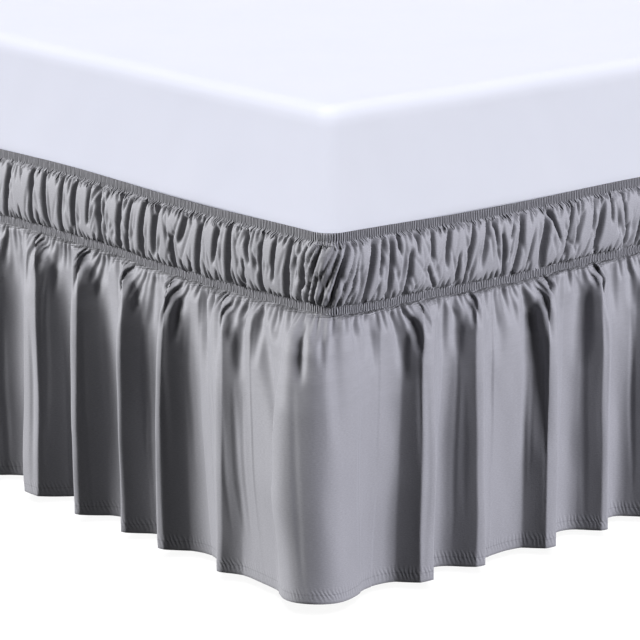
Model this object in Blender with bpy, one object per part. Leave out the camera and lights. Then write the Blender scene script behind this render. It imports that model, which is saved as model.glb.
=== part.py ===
"""A gathered wrap-around bed skirt on the plain bed that holds it up.

The skirt is three cloth panels, one for each of the two long sides and one for the foot end, gathered on
two elastics: one along the top edge and one a hand's width lower. The cloth between them is the heading.
Below the second elastic the cloth falls free to its hem just above the floor. The head end has no cloth:
only the top elastic crosses it, so that the loop grips the base of the bed.

Frame: metres, +Z up, +Y towards the head end, origin on the floor under the middle of the whole object.
"""

import math
import random

import bmesh
import bpy

# Bed: a single mattress on a plain base with six legs.
BED_WIDTH = 0.99
BED_LENGTH = 1.91
BASE_HEIGHT = 0.190
BASE_CORNER_RADIUS = 0.025
BASE_EDGE_RADIUS = 0.004
CORNER_STEPS = 4
MATTRESS_HEIGHT = 0.145
MATTRESS_CORNER_RADIUS = BASE_CORNER_RADIUS
MATTRESS_EDGE_RADIUS = 0.016
MATTRESS_FOOT_RADIUS = 0.005
LEG_RADIUS = 0.030
LEG_TAPER = 0.7
LEG_SIDES = 16
LEG_INSET = 0.095
TOUCH_GAP = 0.0003

# Skirt: heights above the floor, and the depth of each elastic.
SKIRT_DROP = 0.406
HEM_Z = 0.008
SKIRT_TOP_Z = HEM_Z + SKIRT_DROP
ELASTIC_HEIGHT = 0.010
LOWER_ELASTIC_HEIGHT = 0.009
LOWER_ELASTIC_TOP_Z = SKIRT_TOP_Z - 0.082
BASE_TOP_Z = SKIRT_TOP_Z - 0.006
BASE_BOTTOM_Z = BASE_TOP_Z - BASE_HEIGHT

# Cloth: thickness, and how far its middle stands off the side of the base where an elastic holds it.
CLOTH = 0.0015
ELASTIC_THICKNESS = 0.0010
HELD_OUT = TOUCH_GAP + ELASTIC_THICKNESS + TOUCH_GAP + CLOTH / 2
PANEL_GAP = 0.0006

# Folds: how far the cloth stands out from where an elastic holds it.
HEADING_DEPTH = 0.0115
HEM_LIFT = 0.004
FOLD_WIDTH = 0.089
GATHER_WIDTH = 0.0297
WALL_SLOPE = 0.55

# A fold runs from its near valley up a steep wall to its brow, over its crest to the ridge, and down its
# far side to the next fold's near valley. Distances are from the foot corner, along a face: crease, fold and
# peak are the valley's, the brow's and the ridge's places at the lower elastic, and valley, brow and ridge
# their places at the hem. floor is how far out the valley hangs at the hem, and reach the ridge. These are
# the folds next to the corner of the left side and the foot end; plain ones of random width follow them.
SIDE_FOLDS = (
    {"crease": 0.105, "valley": 0.066, "floor": 0.036, "fold": 0.179, "brow": 0.119, "peak": 0.187,
     "ridge": 0.127, "reach": 0.053},
    {"crease": 0.212, "valley": 0.178, "floor": 0.018, "fold": 0.271, "brow": 0.228, "peak": 0.279,
     "ridge": 0.235, "reach": 0.058},
    {"crease": 0.291, "valley": 0.270, "floor": 0.016, "fold": 0.364, "brow": 0.307, "peak": 0.372,
     "ridge": 0.312, "reach": 0.052},
    {"crease": 0.386, "valley": 0.350, "floor": 0.010, "fold": 0.453, "brow": 0.394, "peak": 0.460,
     "ridge": 0.402, "reach": 0.054},
    {"crease": 0.474, "valley": 0.459, "floor": 0.003, "fold": 0.542, "brow": 0.490, "peak": 0.552,
     "ridge": 0.516, "reach": 0.046},
    {"crease": 0.585, "valley": 0.566, "floor": 0.002, "fold": 0.640, "brow": 0.608, "peak": 0.648,
     "ridge": 0.623, "reach": 0.050},
)
FOOT_FOLDS = (
    {"crease": 0.066, "valley": 0.050, "floor": 0.016, "fold": 0.134, "brow": 0.096, "peak": 0.142,
     "ridge": 0.114, "reach": 0.048},
    {"crease": 0.164, "valley": 0.148, "floor": 0.008, "fold": 0.214, "brow": 0.183, "peak": 0.222,
     "ridge": 0.193, "reach": 0.043},
    {"crease": 0.234, "valley": 0.222, "floor": 0.020, "fold": 0.325, "brow": 0.287, "peak": 0.333,
     "ridge": 0.301, "reach": 0.049},
    {"crease": 0.352, "valley": 0.346, "floor": 0.004, "fold": 0.405, "brow": 0.384, "peak": 0.412,
     "ridge": 0.393, "reach": 0.041},
    {"crease": 0.426, "valley": 0.436, "floor": 0.004, "fold": 0.482, "brow": 0.468, "peak": 0.489,
     "ridge": 0.488, "reach": 0.044},
)

# The wide fold round the left foot corner at the hem: (share of the way between its valleys, how far out).
CORNER_FOLD = (
    (0.000, 0.036), (0.150, 0.037), (0.290, 0.039), (0.385, 0.043), (0.440, 0.056), (0.475, 0.066),
    (0.510, 0.0680), (0.550, 0.0670), (0.583, 0.0635), (0.607, 0.059), (0.640, 0.048), (0.690, 0.035),
    (0.778, 0.023), (0.890, 0.018), (1.000, 0.016),
)

# How the folds deepen: (distance below the lower elastic, share of their depth at the hem).
DEEPENING = (
    (0.0, 0.0), (0.006, 0.17), (0.020, 0.48), (0.035, 0.64), (0.065, 0.77), (0.098, 0.85), (0.203, 0.96),
    (0.315, 1.0),
)

# Rows of the cloth, top to bottom: height, share of the heading's full depth, and the points that it has.
FREE_TOP_Z = LOWER_ELASTIC_TOP_Z - LOWER_ELASTIC_HEIGHT
ROWS = (
    {"z": SKIRT_TOP_Z, "heading": 0.0, "columns": "band"},
    {"z": SKIRT_TOP_Z - ELASTIC_HEIGHT, "heading": 0.0, "columns": "heading"},
    {"z": SKIRT_TOP_Z - 0.046, "heading": 1.0, "columns": "heading"},
    {"z": LOWER_ELASTIC_TOP_Z, "heading": 0.0, "columns": "heading"},
    {"z": FREE_TOP_Z, "heading": 0.0, "columns": "folds"},
    {"z": 0.300, "heading": 0.0, "columns": "folds"},
    {"z": 0.258, "heading": 0.0, "columns": "folds"},
    {"z": 0.170, "heading": 0.0, "columns": "folds"},
    {"z": HEM_Z, "heading": 0.0, "columns": "folds"},
)

# One gather of the heading, as (share of its width, share of its depth).
GATHER_SECTION = ((0.0, 0.0), (0.32, 1.0), (0.72, 0.92))

COLOURS = {
    "skirt_cloth": ((0.33, 0.335, 0.35), 0.75),
    "elastic": ((0.42, 0.42, 0.43), 0.8),
    "sheet": ((0.82, 0.84, 0.90), 0.85),
    "ticking": ((0.72, 0.70, 0.66), 0.9),
    "wood": ((0.28, 0.17, 0.09), 0.55),
}

def material(name):
    """The named plain material of a sub-part."""
    found = bpy.data.materials.get(name)
    if found:
        return found
    made = bpy.data.materials.new(name)
    made.use_nodes = True
    colour, roughness = COLOURS[name]
    shader = made.node_tree.nodes["Principled BSDF"]
    shader.inputs["Base Color"].default_value = (*colour, 1.0)
    shader.inputs["Roughness"].default_value = roughness
    shader.inputs["Metallic"].default_value = 0.0
    return made


def new_object(name, mesh, material_name, parent):
    """A mesh as a named sub-part of the bed."""
    made = bpy.data.objects.new(name, mesh)
    bpy.context.scene.collection.objects.link(made)
    made.data.materials.append(material(material_name))
    made.parent = parent
    return made


def arc(centre_x, centre_y, radius, start, steps):
    """Points of a quarter circle that turns left from the angle start."""
    turned = [start + math.pi / 2 * step / steps for step in range(steps + 1)]
    return [(centre_x + radius * math.cos(a), centre_y + radius * math.sin(a)) for a in turned]


def rounded_outline(width, length, radius, steps):
    """A rectangle with round corners, about the origin, turning left."""
    x, y = width / 2 - radius, length / 2 - radius
    centres = ((x, y, 0.0), (-x, y, math.pi / 2), (-x, -y, math.pi), (x, -y, math.pi * 1.5))
    return [point for cx, cy, start in centres for point in arc(cx, cy, radius, start, steps)]


def edge_rounding(radius, steps, top):
    """Inset and height of each level of a rounded edge, from the side wall to the flat face."""
    angles = [math.pi / 2 * step / steps for step in range(steps + 1)]
    levels = [(radius * (1 - math.cos(a)), radius * math.sin(a)) for a in angles]
    return levels if top else [(inset, -rise) for inset, rise in reversed(levels)]


def rounded_block(name, width, length, corner, bottom_z, top_z, foot_radius, top_radius, looks, parent):
    """A block with round upright corners and rolled edges, closed with one flat face at each end."""
    levels = [(inset, bottom_z + foot_radius + drop) for inset, drop in edge_rounding(foot_radius, 2, False)]
    levels += [(inset, top_z - top_radius + rise) for inset, rise in edge_rounding(top_radius, 4, True)]
    shape = bmesh.new()
    rings = []
    for inset, z in levels:
        radius = max(corner - inset, 0.001)
        outline = rounded_outline(width - 2 * inset, length - 2 * inset, radius, CORNER_STEPS)
        rings.append([shape.verts.new((x, y, z)) for x, y in outline])
    for lower, upper in zip(rings, rings[1:]):
        for i in range(len(lower)):
            j = (i + 1) % len(lower)
            shape.faces.new((lower[i], lower[j], upper[j], upper[i]))
    shape.faces.new(list(reversed(rings[0])))
    shape.faces.new(rings[-1])
    mesh = bpy.data.meshes.new(name)
    shape.to_mesh(mesh)
    shape.free()
    mesh.shade_smooth()
    mesh.set_sharp_from_angle(angle=math.radians(40))
    return new_object(name, mesh, looks, parent)


def make_leg(name, x, y, parent):
    """A turned leg that narrows towards the floor."""
    height = BASE_BOTTOM_Z - TOUCH_GAP
    shape = bmesh.new()
    bmesh.ops.create_cone(
        shape,
        cap_ends=True,
        segments=LEG_SIDES,
        radius1=LEG_RADIUS * LEG_TAPER,
        radius2=LEG_RADIUS,
        depth=height,
    )
    mesh = bpy.data.meshes.new(name)
    shape.to_mesh(mesh)
    shape.free()
    mesh.shade_smooth()
    mesh.set_sharp_from_angle(angle=math.radians(40))
    leg = new_object(name, mesh, "wood", parent)
    leg.location = (x, y, height / 2)
    return leg


def strap_wall(shape, line, bottom_z, top_z, closed):
    """A flat strap along a line of (inner point, outer point) pairs."""
    loops = []
    for inner, outer in line:
        corners = ((*inner, bottom_z), (*outer, bottom_z), (*outer, top_z), (*inner, top_z))
        loops.append([shape.verts.new(corner) for corner in corners])
    last = len(loops) if closed else len(loops) - 1
    for i in range(last):
        here, there = loops[i], loops[(i + 1) % len(loops)]
        for k in range(4):
            n = (k + 1) % 4
            shape.faces.new((here[k], there[k], there[n], here[n]))
    if not closed:
        shape.faces.new(loops[0])
        shape.faces.new(list(reversed(loops[-1])))


def make_elastic(name, bottom_z, height, closed, parent):
    """An elastic round the base: a closed loop, or three sides that end with the cloth."""
    inner, outer = TOUCH_GAP, TOUCH_GAP + ELASTIC_THICKNESS
    if closed:
        ring = [
            rounded_outline(BED_WIDTH + 2 * out, BED_LENGTH + 2 * out, BASE_CORNER_RADIUS + out, CORNER_STEPS)
            for out in (inner, outer)
        ]
        line = list(zip(*ring))
    else:
        marks = (0.0, *corner_marks(), PATH_LENGTH)
        line = [(path_point(u, inner), path_point(u, outer)) for u in marks]
    shape = bmesh.new()
    strap_wall(shape, line, bottom_z, bottom_z + height, closed)
    bmesh.ops.recalc_face_normals(shape, faces=shape.faces)
    mesh = bpy.data.meshes.new(name)
    shape.to_mesh(mesh)
    shape.free()
    return new_object(name, mesh, "elastic", parent)


# The cloth's path round the base: down the left side, across the foot end and up the right side.
SIDE_RUN = BED_LENGTH - 2 * BASE_CORNER_RADIUS
FOOT_RUN = BED_WIDTH - 2 * BASE_CORNER_RADIUS
TURN = BASE_CORNER_RADIUS * math.pi / 2
LEFT_CORNER = SIDE_RUN + TURN / 2
RIGHT_CORNER = LEFT_CORNER + TURN + FOOT_RUN
PATH_LENGTH = 2 * SIDE_RUN + 2 * TURN + FOOT_RUN


def path_point(u, out):
    """The point at u along the path round the base, out from its side."""
    x, y, radius = BED_WIDTH / 2, BED_LENGTH / 2, BASE_CORNER_RADIUS
    if u <= SIDE_RUN:
        return -x - out, y - radius - u
    if u <= SIDE_RUN + TURN:
        a = math.pi + (u - SIDE_RUN) / radius
        return -x + radius + (radius + out) * math.cos(a), -y + radius + (radius + out) * math.sin(a)
    if u <= SIDE_RUN + TURN + FOOT_RUN:
        return -x + radius + (u - SIDE_RUN - TURN), -y - out
    if u <= SIDE_RUN + 2 * TURN + FOOT_RUN:
        a = math.pi * 1.5 + (u - SIDE_RUN - TURN - FOOT_RUN) / radius
        return x - radius + (radius + out) * math.cos(a), -y + radius + (radius + out) * math.sin(a)
    return x + out, -y + radius + (u - SIDE_RUN - 2 * TURN - FOOT_RUN)


def corner_marks():
    """The places on the path where the two foot corners turn."""
    starts = (SIDE_RUN, SIDE_RUN + TURN + FOOT_RUN)
    steps = range(CORNER_STEPS + 1)
    return [start + TURN * step / CORNER_STEPS for start in starts for step in steps]


def fill_folds(first, room, chance):
    """The given folds and then as many plain ones as fill the room, their widths scaled to fit."""
    last = first[-1]["ridge"] + FOLD_WIDTH * 0.42 if first else 0.0
    count = round((room - last) / FOLD_WIDTH)
    widths = [chance.uniform(0.80, 1.20) for _ in range(count)]
    scale = (room - last) / sum(widths)
    folds = list(first)
    for share in widths:
        size = share * scale
        ridge = last + size * chance.uniform(0.54, 0.66)
        brow = ridge - size * chance.uniform(0.06, 0.26)
        drift = chance.uniform(-0.004, 0.014)
        folds.append(
            {
                "crease": last + drift,
                "valley": last,
                "floor": chance.uniform(0.004, 0.018),
                "fold": brow + drift,
                "brow": brow,
                "peak": ridge + drift,
                "ridge": ridge,
                "reach": chance.uniform(0.045, 0.056),
            }
        )
        last += size
    return folds


def knots(folds, start, way):
    """The valleys and ridges of one face in the order of the path; way is 1 where it leaves the corner."""
    found = []
    for fold in folds:
        found.append(
            {
                "top": start + way * fold["crease"],
                "hem": start + way * fold["valley"],
                "out": fold["floor"],
            }
        )
        found.append(
            {
                "top": start + way * fold["peak"],
                "hem": start + way * fold["ridge"],
                "out": fold["reach"],
                "brow_top": start + way * fold["fold"],
                "brow_hem": start + way * fold["brow"],
                "way": way,
            }
        )
    return found if way > 0 else found[::-1]


def all_folds():
    """Every fold along the path, as its first valley, its ridge and its last valley."""
    chance = random.Random(7)
    side_line = SIDE_RUN + BASE_CORNER_RADIUS
    foot_line = SIDE_RUN + TURN - BASE_CORNER_RADIUS
    far_line = RIGHT_CORNER + TURN / 2 + BASE_CORNER_RADIUS
    near = FOOT_FOLDS[0]
    left = knots(fill_folds(SIDE_FOLDS, side_line, chance), side_line, -1)
    foot = knots(fill_folds(FOOT_FOLDS, far_line - foot_line - near["crease"], chance), foot_line, 1)
    right = knots(fill_folds(SIDE_FOLDS[:1], side_line, chance), PATH_LENGTH - side_line, 1)
    start = {"top": 0.0, "hem": 0.0, "out": 0.004}
    end = {"top": PATH_LENGTH, "hem": PATH_LENGTH, "out": 0.004}
    near_right = {"top": far_line - near["crease"], "hem": far_line - near["valley"], "out": near["floor"]}
    row = [start, *left, {"way": 0}, *foot, near_right, {"way": 0}, *right, end]
    return [{"first": row[i], "ridge": row[i + 1], "last": row[i + 2]} for i in range(0, len(row) - 2, 2)]


def deepened(down):
    """The share of the folds' depth at a distance below the lower elastic."""
    for (near, low), (far, high) in zip(DEEPENING, DEEPENING[1:]):
        if down <= far:
            return low + (high - low) * (down - near) / (far - near)
    return 1.0


def between(top, hem, moved):
    """A place part of the way from the lower elastic to the hem."""
    return top * (1 - moved) + hem * moved


def plain_section(fold, down):
    """(u, out) of a plain fold's points at one height, from its first valley up to its last."""
    ridge, share, moved = fold["ridge"], deepened(down), down / (FREE_TOP_Z - HEM_Z)
    near, far = (fold["first"], fold["last"]) if ridge["way"] > 0 else (fold["last"], fold["first"])
    near_u, far_u = between(near["top"], near["hem"], moved), between(far["top"], far["hem"], moved)
    ridge_u = between(ridge["top"], ridge["hem"], share)
    brow_u = between(ridge["brow_top"], ridge["brow_hem"], share)
    rise = ridge["out"] - near["out"]
    softer = 1 + (0.022 / rise) ** 3
    wall = min(max(WALL_SLOPE * share * rise * softer / abs(brow_u - near_u), 0.12), 0.62)
    points = [(near_u, 0.0)]
    for along, depth in ((1 - wall, 0.10), (1 - wall / 2, 0.52)):
        points.append((near_u + (brow_u - near_u) * along, depth))
    points += [(brow_u, 0.94), (ridge_u, 1.0)]
    for along, depth in ((0.25, 0.60), (0.65, 0.13)):
        points.append((ridge_u + (far_u - ridge_u) * along, depth))
    section = []
    for u, depth in points:
        floor = near["out"] + (far["out"] - near["out"]) * (u - near_u) / (far_u - near_u)
        section.append((u, share * (floor + (ridge["out"] - floor) * depth)))
    if ridge["way"] > 0:
        return section
    return [(far_u, share * far["out"]), *section[:0:-1]]


def corner_section(fold, down):
    """(u, out) of the points of the wide fold round a corner, with one at the very corner."""
    share, moved = deepened(down), down / (FREE_TOP_Z - HEM_Z)
    first = between(fold["first"]["top"], fold["first"]["hem"], moved)
    last = between(fold["last"]["top"], fold["last"]["hem"], moved)
    left = first < LEFT_CORNER
    if down == 0.0:
        return [(first, 0.0)] + [(u, 0.0) for u in corner_marks() if first < u < last]
    table = CORNER_FOLD if left else [(1 - along, out) for along, out in CORNER_FOLD[::-1]]
    points = [(first + (last - first) * along, share * out) for along, out in table]
    middle = LEFT_CORNER if left else RIGHT_CORNER
    before = [p for p in points if p[0] < middle]
    after = [p for p in points if p[0] > middle]
    part = (middle - before[-1][0]) / (after[0][0] - before[-1][0])
    cut = (middle, before[-1][1] + (after[0][1] - before[-1][1]) * part)
    kept_before = [p for p in before if p[0] < middle - 0.0012]
    kept_after = [p for p in after[:-1] if p[0] > middle + 0.0012]
    return [*kept_before, cut, *kept_after]


def gathers(start, end, depth):
    """(u, out) of as many gathers as fill a stretch, without the last point."""
    count = max(1, round((end - start) / GATHER_WIDTH))
    width = (end - start) / count
    return [(start + (i + along) * width, out * depth) for i in range(count) for along, out in GATHER_SECTION]


def held_points(fold, columns, depth):
    """(u, out) of one fold's points where the elastics hold the cloth, and between them."""
    start, end = fold["first"]["top"], fold["last"]["top"]
    marks = [u for u in corner_marks() if start < u < end]
    if columns == "band":
        return [(start, 0.0)] + [(u, 0.0) for u in marks or [(start + end) / 2]]
    if not marks:
        return gathers(start, end, depth)
    turn = [(u, out * depth) for u, out in zip(marks, (0.0, 0.9, 0.35, 0.9, 0.0))]
    return gathers(start, marks[0], depth) + turn[:-1] + gathers(marks[-1], end, depth)


def cloth_row(row, folds, chance):
    """One row of the cloth's middle surface: each point's u, its order in the row, and its x, y and z.

    The order counts the folds. Within a plain fold it goes by the point's number, and round a corner by its
    place, so that the points of two rows join up along the creases.
    """
    points = []
    down = FREE_TOP_Z - row["z"]
    moved = max(down, 0.0) / (FREE_TOP_Z - HEM_Z)
    for count, fold in enumerate(folds):
        puff = chance.uniform(0.85, 1.0)
        if row["columns"] != "folds":
            section = held_points(fold, row["columns"], row["heading"] * HEADING_DEPTH * puff)
        elif fold["ridge"]["way"] == 0:
            section = corner_section(fold, down)
        else:
            section = plain_section(fold, down)
        first, last = section[0][0], between(fold["last"]["top"], fold["last"]["hem"], moved)
        for number, (u, out) in enumerate(section):
            at_corner = fold["ridge"]["way"] == 0
            order = count + ((u - first) / (last - first) if at_corner else number / len(section))
            lift = HEM_LIFT * (out / 0.055) ** 2 if row["z"] == HEM_Z else 0.0
            points.append((u, order, *path_point(u, HELD_OUT + out), row["z"] + lift))
    points.append((PATH_LENGTH, float(len(folds)), *path_point(PATH_LENGTH, HELD_OUT), row["z"]))
    return points


def zip_rows(shape, upper, lower):
    """Triangles between two rows of (order, vertex), whatever the number of points in each."""
    i = j = 0
    while i < len(upper) - 1 or j < len(lower) - 1:
        take_upper = j == len(lower) - 1 or (i < len(upper) - 1 and upper[i + 1][0] <= lower[j + 1][0])
        if take_upper:
            shape.faces.new((upper[i][1], lower[j][1], upper[i + 1][1]))
            i += 1
        else:
            shape.faces.new((upper[i][1], lower[j][1], lower[j + 1][1]))
            j += 1


def make_panel(name, rows, start, end, parent):
    """One cloth panel of the skirt, from start to end along the path, as one solid of even thickness."""
    shape = bmesh.new()
    placed = []
    for row in rows:
        inside = [p for p in row if start - 1e-6 <= p[0] <= end + 1e-6]
        first, last = trimmed(inside[0], inside[1]), trimmed(inside[-1], inside[-2])
        trim = [first, *inside[1:-1], last]
        placed.append([(p[1], shape.verts.new(p[2:])) for p in trim])
    for upper, lower in zip(placed, placed[1:]):
        zip_rows(shape, upper, lower)
    mesh = bpy.data.meshes.new(name)
    shape.to_mesh(mesh)
    shape.free()
    panel = new_object(name, mesh, "skirt_cloth", parent)
    thick = panel.modifiers.new("cloth thickness", "SOLIDIFY")
    thick.thickness = CLOTH
    thick.offset = 0.0
    thick.use_even_offset = False
    return panel


def trimmed(end, neighbour):
    """A panel's end point, drawn back from its neighbour panel by half the gap between them."""
    run = math.dist(end[2:4], neighbour[2:4])
    share = PANEL_GAP / 2 / run
    return tuple(a + (b - a) * share for a, b in zip(end, neighbour))


def make_skirt(folds, parent):
    """The three cloth panels, cut at the middle of the two foot corners."""
    chance = random.Random(11)
    rows = [cloth_row(row, folds, chance) for row in ROWS]
    make_panel("panel_left", rows, 0.0, LEFT_CORNER, parent)
    make_panel("panel_foot", rows, LEFT_CORNER, RIGHT_CORNER, parent)
    make_panel("panel_right", rows, RIGHT_CORNER, PATH_LENGTH, parent)


def make_bed(parent):
    """The plain mattress, base and legs."""
    rounded_block(
        "base",
        BED_WIDTH,
        BED_LENGTH,
        BASE_CORNER_RADIUS,
        BASE_BOTTOM_Z,
        BASE_TOP_Z,
        BASE_EDGE_RADIUS,
        BASE_EDGE_RADIUS,
        "ticking",
        parent,
    )
    rounded_block(
        "mattress",
        BED_WIDTH,
        BED_LENGTH,
        MATTRESS_CORNER_RADIUS,
        BASE_TOP_Z + TOUCH_GAP,
        BASE_TOP_Z + TOUCH_GAP + MATTRESS_HEIGHT,
        MATTRESS_FOOT_RADIUS,
        MATTRESS_EDGE_RADIUS,
        "sheet",
        parent,
    )
    leg_x, leg_y = BED_WIDTH / 2 - LEG_INSET, BED_LENGTH / 2 - LEG_INSET
    for end, y in (("foot", -leg_y), ("middle", 0.0), ("head", leg_y)):
        for side, x in (("left", -leg_x), ("right", leg_x)):
            make_leg(f"leg_{end}_{side}", x, y, parent)


def middle_y(folds):
    """Where the bed stands so that the origin is in the middle: the foot end's folds reach furthest."""
    at_foot = [fold for fold in folds if LEFT_CORNER < fold["first"]["top"] < RIGHT_CORNER - 0.1]
    foot = HELD_OUT + max(fold["ridge"]["out"] for fold in at_foot) + CLOTH / 2
    head = TOUCH_GAP + ELASTIC_THICKNESS
    return (foot - head) / 2


def main():
    """Clears the scene and builds the bed with its skirt."""
    for old in list(bpy.data.objects):
        bpy.data.objects.remove(old)
    bed = bpy.data.objects.new("bed", None)
    bpy.context.scene.collection.objects.link(bed)
    folds = all_folds()
    bed.location = (0.0, middle_y(folds), 0.0)
    make_bed(bed)
    make_elastic("elastic_top", SKIRT_TOP_Z - ELASTIC_HEIGHT, ELASTIC_HEIGHT, True, bed)
    make_elastic(
        "elastic_lower", LOWER_ELASTIC_TOP_Z - LOWER_ELASTIC_HEIGHT, LOWER_ELASTIC_HEIGHT, False, bed
    )
    make_skirt(folds, bed)


main()
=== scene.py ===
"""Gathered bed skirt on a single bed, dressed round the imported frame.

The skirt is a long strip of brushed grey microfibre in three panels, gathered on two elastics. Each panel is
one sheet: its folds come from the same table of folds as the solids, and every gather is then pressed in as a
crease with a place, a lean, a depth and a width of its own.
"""

import logging
import math
import random
from dataclasses import dataclass, field
from enum import Enum

import bpy
import numpy as np
from mathutils import Matrix, Vector


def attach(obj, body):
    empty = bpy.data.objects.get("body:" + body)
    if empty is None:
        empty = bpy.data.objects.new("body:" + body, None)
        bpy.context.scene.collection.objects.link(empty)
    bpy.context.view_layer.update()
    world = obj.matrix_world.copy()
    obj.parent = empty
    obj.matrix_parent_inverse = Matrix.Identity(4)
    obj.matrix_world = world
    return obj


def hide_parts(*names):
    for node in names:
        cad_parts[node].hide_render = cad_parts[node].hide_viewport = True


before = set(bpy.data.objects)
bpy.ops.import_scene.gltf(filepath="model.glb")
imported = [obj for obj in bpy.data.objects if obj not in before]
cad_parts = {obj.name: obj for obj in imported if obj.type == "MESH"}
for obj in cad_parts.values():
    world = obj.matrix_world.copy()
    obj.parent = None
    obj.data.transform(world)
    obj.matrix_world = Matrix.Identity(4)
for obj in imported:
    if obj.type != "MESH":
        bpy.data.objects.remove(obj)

log = logging.getLogger("bed_skirt")

Piece = bpy.types.Object
Material = bpy.types.Material
Tree = bpy.types.NodeTree
Socket = bpy.types.NodeSocket
Pair = tuple[np.ndarray, np.ndarray]

# Heights above the floor, and the cloth's layers outside the base, in metres.
HEM_Z = 0.008
SKIRT_TOP_Z = 0.414
ELASTIC_HEIGHT = 0.010
LOWER_ELASTIC_TOP_Z = SKIRT_TOP_Z - 0.082
LOWER_ELASTIC_HEIGHT = 0.009
FREE_TOP_Z = LOWER_ELASTIC_TOP_Z - LOWER_ELASTIC_HEIGHT
FREE_DROP = FREE_TOP_Z - HEM_Z
HEADING_TOP_Z = SKIRT_TOP_Z - ELASTIC_HEIGHT
HEADING_TALL = HEADING_TOP_Z - LOWER_ELASTIC_TOP_Z
HEADING_MIDDLE_Z = (HEADING_TOP_Z + LOWER_ELASTIC_TOP_Z) / 2
BASE_TOP_Z = SKIRT_TOP_Z - 0.006
BASE_BOTTOM_Z = BASE_TOP_Z - 0.190
TOUCH_GAP = 0.0003
ELASTIC_THICKNESS = 0.0010
HELD_OUT = 0.00235

# The sockets by which a Map Range node turns one span of values into another.
SPANS = ("From Min", "From Max", "To Min", "To Max")


class Side(Enum):
    """The three sides of the bed that the skirt covers."""

    LEFT = "panel_left"
    FOOT = "panel_foot"
    RIGHT = "panel_right"


def linear(code: str) -> tuple[float, float, float, float]:
    """Turns an sRGB hex colour into Blender's linear colour.

    Args:
        code: The colour as six hex digits.

    Returns:
        Linear red, green, blue and an alpha of 1.
    """
    parts = [int(code[i : i + 2], 16) / 255 for i in (0, 2, 4)]
    red, green, blue = (c / 12.92 if c <= 0.04045 else ((c + 0.055) / 1.055) ** 2.4 for c in parts)
    return (red, green, blue, 1.0)


def add_node(
    tree: Tree,
    kind: str,
    values: dict | None = None,
    links: dict | None = None,
    out: int | str = 0,
    **settings: object,
) -> Socket:
    """Adds one node to a material.

    Args:
        tree: The node tree that it joins.
        kind: The node's type, without the word ShaderNode before it.
        values: Socket name or number to the value set there.
        links: Socket name or number to the output joined to it.
        out: Name or number of the output that the material uses.
        **settings: The node's own settings.

    Returns:
        That output of the new node.
    """
    node = tree.nodes.new("ShaderNode" + kind)
    for name, value in settings.items():
        setattr(node, name, value)
    for key, value in (values or {}).items():
        node.inputs[key].default_value = value
    for key, socket in (links or {}).items():
        tree.links.new(socket, node.inputs[key])
    return node.outputs[out]


def new_material(name: str, roughness: float, sheen: float = 0.0) -> Material:
    """Starts a cloth or wood material.

    Args:
        name: The material's name.
        roughness: Roughness of the main layer.
        sheen: Weight of the fuzzy outer layer.

    Returns:
        The material, with its Principled BSDF.
    """
    made = bpy.data.materials.new(name)
    made.use_nodes = True
    shader = made.node_tree.nodes["Principled BSDF"]
    shader.inputs["Roughness"].default_value = roughness
    shader.inputs["Sheen Weight"].default_value = sheen
    shader.inputs["Sheen Roughness"].default_value = 0.45
    shader.inputs["Specular IOR Level"].default_value = 0.3
    return made


def blend(tree: Tree, tones: tuple[str, str], share: Socket) -> Socket:
    """Blends two tones of one stuff.

    Args:
        tree: The material's node tree.
        tones: The colours at a share of 0 and of 1, as hex digits.
        share: The output that says how much of the second shows.

    Returns:
        The blended colour.
    """
    ends = {"A": linear(tones[0]), "B": linear(tones[1])}
    return add_node(tree, "Mix", ends, {0: share}, "Result", data_type="RGBA")


def surface(tree: Tree, colour: Socket, *reliefs: tuple[Socket, float, float]) -> None:
    """Joins a colour and layers of relief to a material's shader.

    Args:
        tree: The material's node tree.
        colour: The colour.
        *reliefs: Each layer's height, strength and depth in metres, the coarsest first.
    """
    shader = tree.nodes["Principled BSDF"]
    tree.links.new(colour, shader.inputs["Base Color"])
    under = {}
    for height, strength, depth in reliefs:
        size = {"Strength": strength, "Distance": depth}
        under = {"Normal": add_node(tree, "Bump", size, {"Height": height, **under})}
    if under:
        tree.links.new(under["Normal"], shader.inputs["Normal"])


def wave_scale(pitch_mm: float) -> float:
    """The scale at which a wave texture's bands stand a real distance apart."""
    return 2 * math.pi / (20 * pitch_mm / 1000)


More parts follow.
